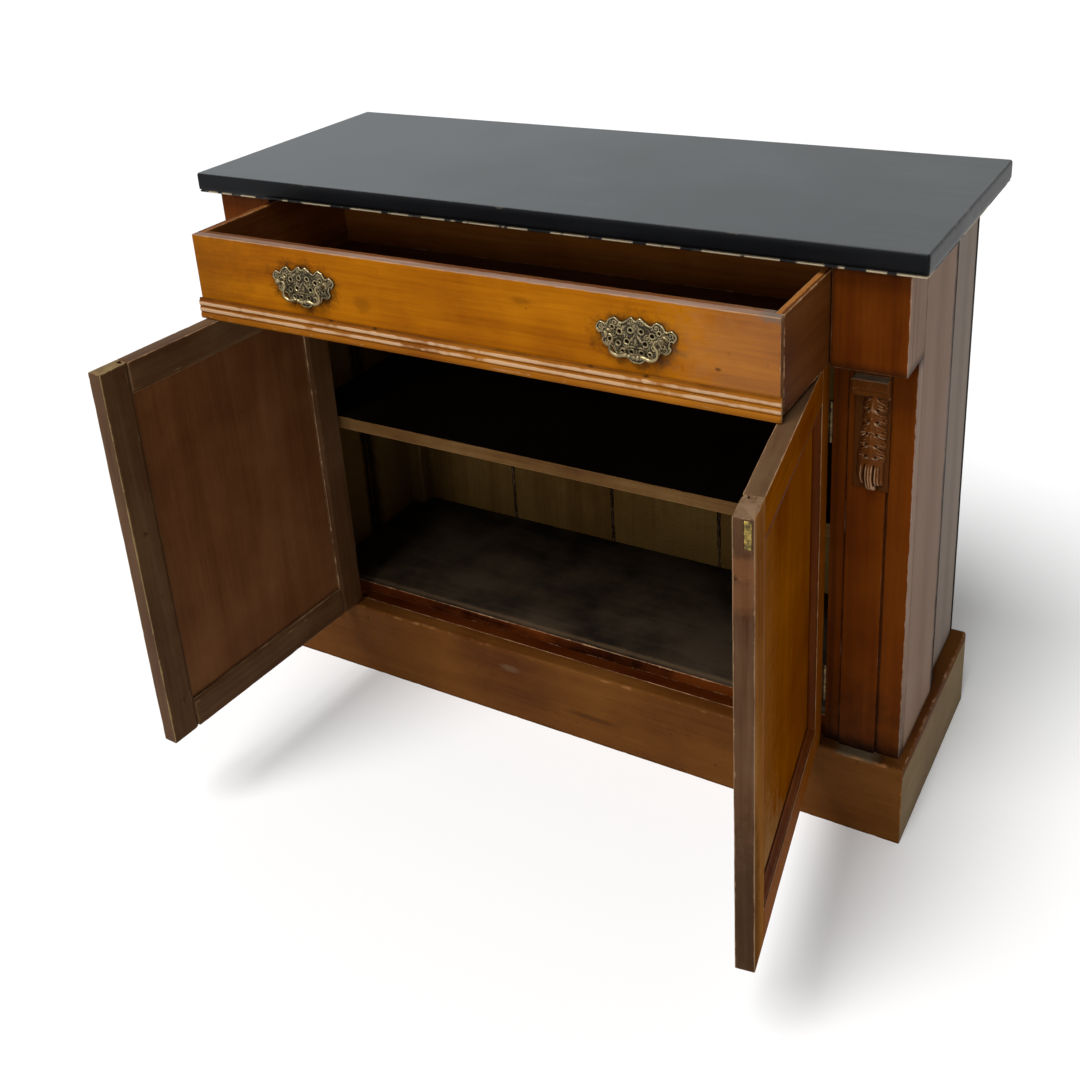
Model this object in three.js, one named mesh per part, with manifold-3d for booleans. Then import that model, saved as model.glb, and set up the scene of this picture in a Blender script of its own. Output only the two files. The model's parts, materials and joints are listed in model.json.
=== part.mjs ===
// Side cabinet: one wide drawer over a pair of panelled doors, set between pilasters with carved corbels.
// Millimetres, +Z up, the front faces -Y. The origin is on the floor, under the middle of the plinth's front.
import * as THREE from "three";
import { mergeVertices } from "three/addons/utils/BufferGeometryUtils.js";
import Module from "manifold-3d";

const wasm = await Module();
wasm.setup();

// Overall sizes
const topWidth = 1170;
const topDepth = 450;
const topThickness = 32;
const totalHeight = 942;
const touchGap = 0.3; // air left between pieces that rest on or against each other
const arris = 0.8; // softened edge of every board

// Setbacks from the front edge of the top board
const blockSetback = 23;
const plinthSetback = 56;
const pilasterSetback = 77;
const doorStopSetback = 103;
const shelfSetback = 106;
const backOverhang = 20;

// Widths of the pieces that stand side by side, from the ends inwards
const topEndOverhang = 25;
const plinthLedge = 12;
const sideThickness = 33;
const blockWidth = 100;
const pilasterWidth = 112;
const drawerSideClearance = 2;

// Heights of the pieces that stand on each other
const plinthHeight = 136;
const floorThickness = 20;
const blockHeight = 141;
const shelfRise = 331; // from the cupboard's floor to the top of the shelf
const doorFootClearance = 2;
const doorHeadClearance = 2.8; // the open doors stand just under the drawer front
const drawerLip = 2; // how far the drawer front hangs below the frieze blocks
const runnerRise = 1.7; // how far the runners stand above the blocks' lower faces
const drawerHeadClearance = 11;
const drawerBackDrop = 10;

// Board thicknesses and the widths of rough inner pieces
const sideRecess = 11; // how far the rear side board sits inside the front one
const sideFrontBoardDepth = 158.7;
const sideJointWidth = 2;
const backThickness = 16;
const backJointShares = [0, 0.2295, 0.4262, 0.623, 0.8197, 1];
const backJointWidth = 1.6;
const postWidth = 28;
const pilasterThickness = 22;
const plinthFrontThickness = 26;
const plinthSideThickness = 34;
const bottomRailDepth = 40;
const bottomRailHeight = 42;
const shelfThickness = 22;
const bearerWidth = 25;
const bearerHeight = 24;
const bearerSetback = 128;
const railDepth = 60;
const railHeight = 22;
const runnerWidth = 86;
const guideHeight = 32;
const guideClearance = 2.5;

// Pilaster face: a raised middle strip between two quirks
const stripRise = 4;
const stripInner = 23;
const stripWidth = 53;
const quirkWidth = 1.6;
const quirkDepth = 2;

// Doors
const doorThickness = 25;
const doorMeetingGap = 1.6;
const doorHingeGap = 2.4;
const hingeAxisProud = 3; // the knuckles' axis stands in front of the door's face
const frameWidth = 50;
const panelThickness = 8;
const grooveDepth = 8;
const grooveWall = 9; // wood left in front of the panel groove
const mouldingWidth = 20;
const innerChamfer = 7; // slope worked round the panel on the door's inner face
const leftDoorAngle = 92.8;
const rightDoorAngle = 99;

// Drawer
const drawerPulledOut = 172;
const drawerFrontThickness = 22;
const drawerSideThickness = 12;
const drawerLapDepth = 10;
const drawerRearClearance = 43;
const drawerBottomThickness = 6;
const drawerGrooveDepth = 5;
const drawerBottomRise = 8; // groove above the lower edge of the sides
const reedHeight = 33;
const reedProjection = 5;
const reedOverhang = 3;
const reedCount = 3;
const reedFilletHeight = 3;

// Handles
const handleOffset = 262;
const handleShift = 11; // both handles stand a little to the right of the middle
const handleRise = 76; // above the foot of the drawer front
const plateHalfWidth = 56;
const plateHalfHeight = 31;
const plateThickness = 2;
const plateBevel = 0.6;
const postSpacing = 76;
const postLevel = 7; // above the plate's middle
const postRadius = 4.2;
const postLength = 12;
const knobRadius = 5;
const bailPivotOut = 9.5;
const bailEndRadius = 1.6;
const bailMiddleRadius = 3;
const pinHoleRadius = 2.1;

// Hinges
const hingeLength = 62;
const hingeInset = 70; // from the door's end to the hinge's end
const leafThickness = 0.8;
const leafDepth = 19;
const knuckleRadius = 2.7;
const hingePinRadius = 1.1;
const hingeBore = 1.4;
const knuckleShares = [0, 0.34, 0.66, 1];

// Bolt plate in the right door's free edge
const boltPlateHeight = 34;
const boltPlateWidth = 8;
const boltPlateThickness = 1.5;
const boltPlateInset = 4;
const boltPlateTop = 3;

// Corbels
const corbelWidth = 48;
const corbelProjection = 24;
const corbelCapHeight = 20;
const corbelLeafWidth = 38;
const corbelDrop = 188;
const corbelEdge = 4; // thickness of the leaf where it meets the pilaster
const corbelRows = 48;
const corbelColumns = 16;

// Levels and planes that follow from the sizes above
const frontY = -plinthSetback - plinthFrontThickness / 2;
const plinthY = frontY + plinthSetback;
const faceY = frontY + pilasterSetback;
const blockY = frontY + blockSetback;
const stopY = frontY + doorStopSetback;
const backY = frontY + topDepth - backOverhang;
const backInnerY = backY - backThickness;
const pilasterBackY = faceY + pilasterThickness;
const sideHalfWidth = topWidth / 2 - topEndOverhang;
const plinthHalfWidth = sideHalfWidth + plinthLedge;
const innerHalfWidth = sideHalfWidth - sideThickness;
const blockInnerHalf = sideHalfWidth - blockWidth;
const pilasterInnerHalf = sideHalfWidth - pilasterWidth;
const drawerHalfWidth = blockInnerHalf - drawerSideClearance;
const rearOuterHalf = sideHalfWidth - sideRecess;
const underTop = totalHeight - topThickness;
const blockBottom = underTop - blockHeight;
const floorTop = plinthHeight + floorThickness;
const shelfTop = floorTop + shelfRise;
const doorBottom = plinthHeight + doorFootClearance;
const doorTop = blockBottom - doorHeadClearance;
const drawerFrontBottom = blockBottom - drawerLip;
const drawerFrontTop = underTop - drawerHeadClearance;
const drawerBackTop = drawerFrontTop - drawerBackDrop;
const railTop = blockBottom + runnerRise;
const handleHeight = drawerFrontBottom + handleRise;
const runnerRearY = backInnerY - postWidth - 3 * touchGap; // just clear of the rear posts
const degree = Math.PI / 180;

// Colours of the finishes
const finishes = {
  black: [0x17191b, 0.45, 0],
  amber: [0x9a5a22, 0.42, 0],
  brown: [0x7a4318, 0.45, 0],
  dusty: [0x8a7566, 0.75, 0],
  inner: [0x4a3322, 0.8, 0],
  plank: [0x5b4026, 0.85, 0],
  brass: [0x7d6b3f, 0.42, 0.9],
};

function finish(name) {
  const [color, roughness, metalness] = finishes[name];
  return new THREE.MeshStandardMaterial({ color, roughness, metalness });
}

// A geometry as a solid that can be cut and joined.
function toSolid(geometry) {
  const plain = geometry.clone();
  plain.deleteAttribute("normal");
  plain.deleteAttribute("uv");
  const merged = mergeVertices(plain, 1e-4);
  return new wasm.Manifold(
    new wasm.Mesh({
      numProp: 3,
      vertProperties: new Float32Array(merged.attributes.position.array),
      triVerts: new Uint32Array(merged.index.array),
    }),
  );
}

function fromSolid(solid) {
  const mesh = solid.getMesh();
  const geometry = new THREE.BufferGeometry();
  geometry.setAttribute("position", new THREE.BufferAttribute(new Float32Array(mesh.vertProperties), 3));
  geometry.setIndex(new THREE.BufferAttribute(new Uint32Array(mesh.triVerts), 1));
  geometry.computeVertexNormals();
  return geometry;
}

function joined(...geometries) {
  return fromSolid(geometries.map(toSolid).reduce((a, b) => a.add(b)));
}

function without(geometry, ...cutters) {
  return fromSolid(cutters.map(toSolid).reduce((a, b) => a.subtract(b), toSolid(geometry)));
}

// A closed skin through rings of points; a loop of rings joins its last ring to its first.
function loft(rings, loop = false) {
  const points = rings.flat();
  const count = rings[0].length;
  const faces = [];
  const quads = loop ? rings.length : rings.length - 1;
  for (let i = 0; i < quads; i++) {
    const below = i * count;
    const above = ((i + 1) % rings.length) * count;
    for (let j = 0; j < count; j++) {
      const next = (j + 1) % count;
      faces.push(below + j, below + next, above + next, below + j, above + next, above + j);
    }
  }
  if (!loop) {
    const first = THREE.ShapeUtils.triangulateShape(flatRing(rings[0]), []);
    first.forEach(([a, b, c]) => faces.push(c, b, a));
    const start = (rings.length - 1) * count;
    first.forEach(([a, b, c]) => faces.push(start + a, start + b, start + c));
  }
  const geometry = new THREE.BufferGeometry();
  geometry.setAttribute("position", new THREE.Float32BufferAttribute(points.flat(), 3));
  geometry.setIndex(faces);
  return facingOut(geometry);
}

// A ring's own two-dimensional outline, seen along its normal.
function flatRing(ring) {
  const normal = new THREE.Vector3();
  const a = new THREE.Vector3();
  const b = new THREE.Vector3();
  ring.forEach((point, i) => {
    a.fromArray(point);
    b.fromArray(ring[(i + 1) % ring.length]);
    normal.add(a.cross(b));
  });
  const turn = new THREE.Quaternion().setFromUnitVectors(normal.normalize(), new THREE.Vector3(0, 0, 1));
  return ring.map((point) => {
    const p = new THREE.Vector3(...point).applyQuaternion(turn);
    return new THREE.Vector2(p.x, p.y);
  });
}

// Turns the faces round where the enclosed volume comes out negative.
function facingOut(geometry) {
  const p = geometry.attributes.position;
  const index = geometry.index.array;
  const [a, b, c] = [new THREE.Vector3(), new THREE.Vector3(), new THREE.Vector3()];
  let volume = 0;
  for (let i = 0; i < index.length; i += 3) {
    a.fromBufferAttribute(p, index[i]);
    b.fromBufferAttribute(p, index[i + 1]);
    c.fromBufferAttribute(p, index[i + 2]);
    volume += a.dot(b.cross(c));
  }
  if (volume < 0) {
    for (let i = 0; i < index.length; i += 3) {
      [index[i + 1], index[i + 2]] = [index[i + 2], index[i + 1]];
    }
  }
  geometry.computeVertexNormals();
  return geometry;
}

function mirrored(geometry) {
  const copy = geometry.clone().scale(-1, 1, 1);
  if (!copy.index) {
    copy.setIndex([...Array(copy.attributes.position.count).keys()]);
  }
  return facingOut(copy);
}

// A prism: an outline in the two other axes, carried along one axis from one place to another.
function prism(outline, axis, from, to) {
  const place = {
    x: ([u, v], along) => [along, u, v],
    y: ([u, v], along) => [u, along, v],
    z: ([u, v], along) => [u, v, along],
  }[axis];
  return loft([from, to].map((along) => outline.map((point) => place(point, along))));
}

// A board with softened edges: rings of eight corners, the end rings drawn in by the arris.
function board(x0, x1, y0, y1, z0, z1, soft = arris) {
  const low = [Math.min(x0, x1), Math.min(y0, y1), Math.min(z0, z1)];
  const high = [Math.max(x0, x1), Math.max(y0, y1), Math.max(z0, z1)];
  const ring = (x, inset) => {
    const [a, b, c, d] = [low[1] + inset, high[1] - inset, low[2] + inset, high[2] - inset];
    return [
      [x, a + soft, c], [x, b - soft, c], [x, b, c + soft], [x, b, d - soft],
      [x, b - soft, d], [x, a + soft, d], [x, a, d - soft], [x, a, c + soft],
    ];
  };
  return loft([ring(low[0], soft), ring(low[0] + soft, 0), ring(high[0] - soft, 0), ring(high[0], soft)]);
}

// A round bar along one axis, with a radius for each place.
function turned(axis, places, radii, centre, sides) {
  const rings = places.map((along, i) =>
    Array.from({ length: sides }, (_, k) => {
      const angle = (2 * Math.PI * k) / sides;
      const [u, v] = [centre[0] + radii[i] * Math.cos(angle), centre[1] + radii[i] * Math.sin(angle)];
      return { x: [along, u, v], y: [u, along, v], z: [u, v, along] }[axis];
    }),
  );
  return loft(rings);
}

// The value of an evenly spaced table at a share of its length, eased between its entries.
function eased(table, share) {
  const place = Math.min(Math.max(share, 0), 1) * (table.length - 1);
  const i = Math.min(Math.floor(place), table.length - 2);
  const ease = (1 - Math.cos((place - i) * Math.PI)) / 2;
  return table[i] + (table[i + 1] - table[i]) * ease;
}

const cabinet = new THREE.Group();

function add(name, geometry, finishName, parent = cabinet) {
  const mesh = new THREE.Mesh(geometry, finish(finishName));
  mesh.name = name;
  parent.add(mesh);
}

// Adds a right-hand piece and its mirror image.
function addPair(name, geometry, finishName, parent = cabinet) {
  add(name + "_right", geometry, finishName, parent);
  add(name + "_left", mirrored(geometry), finishName, parent);
}

// Top board: rounded upper edge, square face, and a small bead under a quirk along the lower edge
const topLevelShares = [0, 0.02, 0.06, 0.1, 0.12, 0.14, 0.88, 0.95, 0.99, 1];
const topInsets = [5, 2.2, 1.2, 1.8, 3, 0, 0, 0.7, 2, 3.6];
const topCornerRadius = 4;
const topCornerSteps = 3;

function roundedRectangle(halfWidth, halfDepth, radius, steps) {
  const corners = [[1, 1], [-1, 1], [-1, -1], [1, -1]];
  return corners.flatMap(([sx, sy], quarter) =>
    Array.from({ length: steps + 1 }, (_, k) => {
      const angle = (quarter + k / steps) * (Math.PI / 2);
      return [
        sx * (halfWidth - radius) + radius * Math.cos(angle),
        sy * (halfDepth - radius) + radius * Math.sin(angle),
      ];
    }),
  );
}

function topBoard() {
  return loft(
    topLevelShares.map((share, i) => {
      const inset = topInsets[i];
      const half = [topWidth / 2 - inset, topDepth / 2 - inset];
      const outline = roundedRectangle(...half, topCornerRadius, topCornerSteps);
      return outline.map(([x, y]) => [x, y + frontY + topDepth / 2, underTop + share * topThickness]);
    }),
  );
}

// Plinth: a front board mitred to two returns
function plinthFront() {
  const back = plinthY + plinthFrontThickness;
  const cheek = plinthHalfWidth - plinthFrontThickness;
  const outline = [
    [-plinthHalfWidth, plinthY],
    [plinthHalfWidth, plinthY],
    [cheek, back],
    [-cheek, back],
  ];
  return prism(outline, "z", 0, plinthHeight);
}

function plinthSide() {
  const inner = plinthHalfWidth - plinthSideThickness;
  const mitre = touchGap * Math.SQRT2;
  const square = plinthY + plinthFrontThickness + touchGap;
  const outline = [
    [plinthHalfWidth, plinthY + mitre],
    [plinthHalfWidth, backY],
    [inner, backY],
    [inner, square],
    [plinthHalfWidth - plinthFrontThickness + mitre, square],
  ];
  return prism(outline, "z", 0, plinthHeight);
}

function bottomRail() {
  const half = plinthHalfWidth - plinthSideThickness - touchGap;
  const front = plinthY + plinthFrontThickness + touchGap;
  return board(-half, half, front, front + bottomRailDepth, plinthHeight - bottomRailHeight, plinthHeight);
}

// Carcass
const sideFoot = plinthHeight + touchGap;
const sideHead = underTop - touchGap;
const sideFrontY = pilasterBackY + touchGap;
const sideJointY = sideFrontY + sideFrontBoardDepth;

function sideFrontBoard() {
  return board(innerHalfWidth, sideHalfWidth, sideFrontY, sideJointY, sideFoot, sideHead);
}

function sideRearBoard() {
  const rear = backInnerY - touchGap;
  return board(innerHalfWidth, rearOuterHalf, sideJointY + sideJointWidth, rear, sideFoot, sideHead);
}

function backBoard(from, to) {
  return board(from, to, backInnerY, backY, sideFoot, sideHead);
}

function rearPost() {
  const outer = innerHalfWidth - touchGap;
  const rear = backInnerY - touchGap;
  return board(outer - postWidth, outer, rear - postWidth, rear, floorTop + touchGap, sideHead);
}

function pilaster() {
  const quirkA = pilasterInnerHalf + stripInner;
  const quirkB = quirkA + stripWidth;
  const outline = [
    [pilasterInnerHalf, pilasterBackY],
    [pilasterInnerHalf, faceY + arris],
    [pilasterInnerHalf + arris, faceY],
    [quirkA - quirkWidth, faceY],
    [quirkA - quirkWidth, faceY + quirkDepth],
    [quirkA, faceY + quirkDepth],
    [quirkA, faceY - stripRise + arris],
    [quirkA + arris, faceY - stripRise],
    [quirkB - arris, faceY - stripRise],
    [quirkB, faceY - stripRise + arris],
    [quirkB, faceY + quirkDepth],
    [quirkB + quirkWidth, faceY + quirkDepth],
    [quirkB + quirkWidth, faceY],
    [sideHalfWidth - arris, faceY],
    [sideHalfWidth, faceY + arris],
    [sideHalfWidth, pilasterBackY],
  ];
  return prism(outline, "z", plinthHeight + touchGap, blockBottom - touchGap);
}

function friezeBlock() {
  const level = [blockBottom, underTop - touchGap];
  return board(blockInnerHalf, sideHalfWidth, blockY, pilasterBackY, ...level, 2 * arris);
}

function floorBoard() {
  const half = innerHalfWidth - touchGap;
  return board(-half, half, stopY, backInnerY - touchGap, plinthHeight + touchGap, floorTop);
}

function shelf() {
  const half = innerHalfWidth - 2 * touchGap;
  const rear = backInnerY - touchGap;
  const notchX = innerHalfWidth - postWidth - 2 * touchGap;
  const notchY = rear - postWidth - touchGap;
  const right = [[half, frontY + shelfSetback], [half, notchY], [notchX, notchY], [notchX, rear]];
  const left = right.map(([x, y]) => [-x, y]).reverse();
  return prism([...right, ...left], "z", shelfTop - shelfThickness, shelfTop);
}

function shelfBearer() {
  const outer = innerHalfWidth - touchGap;
  const top = shelfTop - shelfThickness - touchGap;
  return board(outer - bearerWidth, outer, frontY + bearerSetback, runnerRearY, top - bearerHeight, top);
}

function drawerRail() {
  const half = innerHalfWidth - touchGap;
  return board(-half, half, stopY, stopY + railDepth, railTop - railHeight, railTop);
}

// An L: the drawer's side slides on its foot and along its upright.
function drawerRunner() {
  const outer = innerHalfWidth - touchGap;
  const guide = drawerHalfWidth + guideClearance;
  const outline = [
    [outer - runnerWidth, railTop - railHeight],
    [outer, railTop - railHeight],
    [outer, railTop + guideHeight],
    [guide, railTop + guideHeight],
    [guide, railTop],
    [outer - runnerWidth, railTop],
  ];
  return prism(outline, "y", stopY + railDepth + touchGap, runnerRearY);
}

// Carved corbel: a moulded cap on a thin ground, and a hanging leaf in curling tiers with a plain tongue
const capStepShares = [
  [0, 1], [1, 1], [1, 0.62], [0.94, 0.56], [0.88, 0.52], [0.9, 0.36], [0.82, 0.14], [0.64, 0], [0, 0],
];
const leafWidthShares = [0.9, 1, 0.98, 0.94, 0.98, 0.92, 0.84, 0.78, 0.76, 0.84, 0.92, 0.88, 0.7];
const leafRiseShares = [0.66, 0.7, 0.64, 0.58, 0.52, 0.5, 0.46, 0.42, 0.42, 0.52, 0.62, 0.6, 0.44];
const leafTiers = 3;
const leafTierShare = 0.7; // share of the leaf's length that the tiers take up
const leafSweepShare = 0.5; // how far the lobes trail down towards the edges, in tiers
const leafCurl = 5;
const leafLobeShare = 0.22;
const leafRib = 1.4;
const leafFurrow = 2;
const leafRibShare = 0.13;
const leafFurrowShare = 0.34;
const leafTipShare = 0.92;

// How far a tier's surface has curled out at this place: nothing at its root, one at its tip.
function leafTierCurl(t, s) {
  const phase = (leafTiers * t) / leafTierShare - leafSweepShare * Math.abs(s) + 1;
  const fade = THREE.MathUtils.smoothstep(leafTierShare - t, 0, 1 - leafTierShare);
  return (phase - Math.floor(phase)) ** 2 * (t < leafTierShare ? Math.min(1, 3 * fade + leafRibShare) : 0);
}

function corbelLeaf(centreX, backPlane, top, bottom) {
  const rings = [];
  for (let i = 0; i <= corbelRows; i++) {
    const t = i / corbelRows;
    const z = top + (bottom - top) * t;
    const tip = Math.max(t - leafTipShare, 0) / (1 - leafTipShare);
    const closing = Math.sqrt(Math.max(1 - tip * tip, leafRibShare));
    const lobes = 1 + leafLobeShare * (leafTierCurl(t, 1) - leafFurrowShare);
    const half = (corbelLeafWidth / 2) * eased(leafWidthShares, t) * lobes * closing;
    const rise = corbelProjection * eased(leafRiseShares, t) * closing;
    const ring = [];
    for (let j = 0; j <= corbelColumns; j++) {
      const s = (2 * j) / corbelColumns - 1;
      const dome = Math.sqrt(Math.max(0, 1 - s ** 4));
      const rib = leafRib * Math.exp(-((s / leafRibShare) ** 2));
      const furrow = leafFurrow * Math.exp(-(((Math.abs(s) - leafFurrowShare) / leafRibShare) ** 2));
      const carved = (rib - furrow) * (t < leafTierShare ? 1 : 0) + leafCurl * leafTierCurl(t, s);
      const height = Math.max(corbelEdge, rise * dome + carved * dome * closing);
      ring.push([centreX + s * half, backPlane - height, z]);
    }
    const seat = backPlane - corbelEdge / 2;
    ring.push([centreX + half, seat, z], [centreX - half, seat, z]);
    rings.push(ring);
  }
  return loft(rings);
}

function corbel() {
  const centreX = (pilasterInnerHalf + sideHalfWidth) / 2;
  const backPlane = faceY - stripRise - touchGap;
  const top = blockBottom - touchGap;
  const bottom = top - corbelDrop;
  const capBottom = top - corbelCapHeight;
  const half = corbelWidth / 2;
  const profile = capStepShares.map(([out, up]) => [
    backPlane - corbelProjection * out,
    capBottom + corbelCapHeight * up,
  ]);
  const [left, right] = [centreX - half, centreX + half];
  const cap = prism(profile, "x", left, right);
  const ground = board(left, right, backPlane - corbelEdge, backPlane, bottom, top - arris);
  const leaf = corbelLeaf(centreX, backPlane, capBottom + corbelCapHeight / 2, bottom - corbelEdge);
  return joined(cap, ground, leaf);
}

// Panelled door for the right side, in the hinge's own frame: the knuckles' axis is x = 0, y = 0
const doorHingeX = pilasterInnerHalf - doorHingeGap / 2;
const doorAxisY = faceY - hingeAxisProud;
const edgeX = -doorHingeGap / 2;
const freeX = -(doorHingeX - doorMeetingGap / 2);
const outerFace = hingeAxisProud;
const innerFace = hingeAxisProud + doorThickness;
const grooveFront = outerFace + grooveWall;
const grooveBack = grooveFront + panelThickness + 2 * touchGap;
const openingLow = doorBottom + frameWidth;
const openingHigh = doorTop - frameWidth;
const openingHinge = edgeX - frameWidth;
const openingFree = freeX + frameWidth;

// The section of a stile or rail, from its outer edge to its grooved inner edge.
function frameSection(outer, inner, plane) {
  const inwards = Math.sign(outer - inner);
  const soft = arris * inwards;
  const points = [
    [outer, innerFace],
    [outer, outerFace + arris],
    [outer - soft, outerFace],
    [inner, outerFace],
    [inner, grooveFront],
    [inner + grooveDepth * inwards, grooveFront],
    [inner + grooveDepth * inwards, grooveBack],
    [inner, grooveBack],
    [inner, innerFace - innerChamfer / 2],
    [inner + innerChamfer * inwards, innerFace],
  ];
  return plane === "plan" ? points : points.map(([edge, depth]) => [depth, edge]);
}

function doorStile(outer, inner) {
  return prism(frameSection(outer, inner, "plan"), "z", doorBottom, doorTop);
}

// Each rail has a stub tenon at both ends that fills the end of the stile's groove.
function doorRail(outer, inner) {
  const [from, to] = [openingFree + touchGap, openingHinge - touchGap];
  const body = prism(frameSection(outer, inner, "side"), "x", from, to);
  const reach = grooveDepth - touchGap;
  const grooveFoot = inner + Math.sign(outer - inner) * grooveDepth;
  const [low, high] = [Math.min(outer, grooveFoot) + touchGap, Math.max(outer, grooveFoot) - touchGap];
  const tenon = (a, b) => board(a, b, grooveFront + touchGap, grooveBack - touchGap, low, high, arris / 2);
  return joined(body, tenon(from - reach, from + grooveDepth), tenon(to - grooveDepth, to + reach));
}

function doorPanel() {
  const reach = grooveDepth - 2 * touchGap;
  const [x0, x1] = [openingFree - reach, openingHinge + reach];
  const [z0, z1] = [openingLow - reach, openingHigh + reach];
  return board(x0, x1, grooveFront + touchGap, grooveBack - touchGap, z0, z1, arris / 2);
}

// Ogee moulding mitred round the panel: [share of the width inwards, share of the depth forwards].
const mouldingShares = [
  [0, 0], [1, 0], [1, 0.2], [0.86, 0.27], [0.74, 0.36], [0.62, 0.52], [0.5, 0.72],
  [0.38, 0.86], [0.26, 0.92], [0.16, 0.9], [0.12, 0.8], [0, 0.8],
];

function doorMoulding() {
  const depth = grooveWall - touchGap;
  const seat = grooveFront;
  const corner = (sx, sz) =>
    mouldingShares.map(([across, out]) => {
      const inwards = touchGap + (mouldingWidth - touchGap) * across;
      const x = sx < 0 ? openingFree + inwards : openingHinge - inwards;
      const z = sz < 0 ? openingLow + inwards : openingHigh - inwards;
      return [x, seat - depth * out, z];
    });
  return loft([corner(-1, -1), corner(1, -1), corner(1, 1), corner(-1, 1)], true);
}

// Butt hinge with three knuckles; the pin is one piece with the fixed leaf's two outer knuckles
const hingeSides = 14;

function knuckle(from, to, radius) {
  return turned("z", [from, to], [radius, radius], [0, 0], hingeSides);
}

function hingeLevels(low) {
  return knuckleShares.map((share) => low + hingeLength * share);
}

function fixedLeaf(low) {
  const [a, b, c, d] = hingeLevels(low);
  const near = doorHingeGap / 2 - touchGap;
  const leaf = board(near - leafThickness, near, 0, leafDepth, a, d, leafThickness / 4);
  const [nearest, furthest] = [-knuckleRadius, knuckleRadius + touchGap];
  const clear = board(nearest, near, nearest, furthest, b - touchGap, c + touchGap, arris / 4);
  const outerKnuckles = [knuckle(a, b - touchGap, knuckleRadius), knuckle(c + touchGap, d, knuckleRadius)];
  const pin = knuckle(a + arris, d - arris, hingePinRadius);
  return joined(without(leaf, clear), ...outerKnuckles, pin);
}

function doorLeaf(low) {
  const [a, b, c, d] = hingeLevels(low);
  const near = edgeX + touchGap;
  const leaf = board(near, near + leafThickness, 0, leafDepth, a, d, leafThickness / 4);
  const room = knuckleRadius + touchGap;
  const clear = [
    board(near - leafThickness, room, -room, room, a - arris, b + touchGap / 2, arris / 4),
    board(near - leafThickness, room, -room, room, c - touchGap / 2, d + arris, arris / 4),
  ];
  const middle = knuckle(b + touchGap / 2, c - touchGap / 2, knuckleRadius);
  const bore = knuckle(b - arris, c + arris, hingeBore);
  return without(joined(without(leaf, ...clear), middle), bore);
}

// Brass plate of the flush bolt, let into the free edge of the right door near its top
const boltPlate = { low: doorTop - boltPlateTop - boltPlateHeight, high: doorTop - boltPlateTop };

function boltPlateBoard(grow) {
  const [y0, y1] = [outerFace + boltPlateInset - grow, outerFace + boltPlateInset + boltPlateWidth + grow];
  const x = freeX + boltPlateThickness + grow;
  return board(freeX - grow, x, y0, y1, boltPlate.low - grow, boltPlate.high + grow, arris / 4);
}

const hingeLows = { upper: doorTop - hingeInset - hingeLength, lower: doorBottom + hingeInset };

function addDoor(side) {
  const sign = side === "right" ? 1 : -1;
  const place = (geometry) => (sign > 0 ? geometry : mirrored(geometry));
  const door = new THREE.Group();
  door.position.set(sign * doorHingeX, doorAxisY, 0);
  door.rotation.z = sign * (sign > 0 ? rightDoorAngle : leftDoorAngle) * degree;
  const frame = new THREE.Group();
  frame.position.copy(door.position);
  const name = (piece) => `door_${side}_${piece}`;
  const outside = sign > 0 ? "amber" : "brown";
  add(name("hinge_stile"), place(doorStile(edgeX, openingHinge)), outside, door);
  const lockStile = doorStile(freeX, openingFree);
  if (sign > 0) {
    add(name("lock_stile"), without(lockStile, boltPlateBoard(touchGap)), outside, door);
    add(name("bolt_plate"), boltPlateBoard(0), "brass", door);
  } else {
    add(name("lock_stile"), place(lockStile), outside, door);
  }
  add(name("top_rail"), place(doorRail(doorTop, openingHigh)), outside, door);
  add(name("bottom_rail"), place(doorRail(doorBottom, openingLow)), outside, door);
  add(name("panel"), place(doorPanel()), outside, door);
  add(name("moulding"), place(doorMoulding()), "brown", door);
  Object.entries(hingeLows).forEach(([level, low]) => {
    add(`hinge_${side}_${level}_door_leaf`, place(doorLeaf(low)), "brass", door);
    add(`hinge_${side}_${level}_fixed_leaf`, place(fixedLeaf(low)), "brass", frame);
  });
  cabinet.add(door, frame);
}

// Drawer, drawn closed and then carried forwards by its group
const drawerSideLow = railTop + touchGap;
const drawerBackY = backInnerY - drawerRearClearance;
const drawerGrooveLow = drawerSideLow + drawerBottomRise;
const drawerGrooveHigh = drawerGrooveLow + drawerBottomThickness + 2 * touchGap;
const drawerInnerHalf = drawerHalfWidth - drawerSideThickness;

function drawerFront() {
  const back = blockY + drawerFrontThickness;
  const lap = blockY + drawerFrontThickness - drawerLapDepth;
  const inner = drawerInnerHalf - touchGap;
  const right = [[drawerHalfWidth, blockY + arris], [drawerHalfWidth, lap], [inner, lap], [inner, back]];
  const left = right.map(([x, y]) => [-x, y]).reverse();
  const face = [[-drawerHalfWidth + arris, blockY], [drawerHalfWidth - arris, blockY]];
  const body = prism([...face, ...right, ...left], "z", drawerFrontBottom, drawerFrontTop);
  const slotHalf = inner + arris;
  const [slotFoot, slotMouth] = [back - drawerGrooveDepth, back + arris];
  const slot = board(-slotHalf, slotHalf, slotFoot, slotMouth, drawerGrooveLow, drawerGrooveHigh, arris / 4);
  return without(body, slot);
}

function drawerSide() {
  const outline = [
    [drawerInnerHalf, drawerSideLow],
    [drawerHalfWidth, drawerSideLow],
    [drawerHalfWidth, drawerFrontTop - arris],
    [drawerHalfWidth - arris, drawerFrontTop],
    [drawerInnerHalf + arris, drawerFrontTop],
    [drawerInnerHalf, drawerFrontTop - arris],
    [drawerInnerHalf, drawerGrooveHigh],
    [drawerInnerHalf + drawerGrooveDepth, drawerGrooveHigh],
    [drawerInnerHalf + drawerGrooveDepth, drawerGrooveLow],
    [drawerInnerHalf, drawerGrooveLow],
  ];
  const front = blockY + drawerFrontThickness - drawerLapDepth + touchGap;
  return prism(outline, "y", front, drawerBackY);
}

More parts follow.
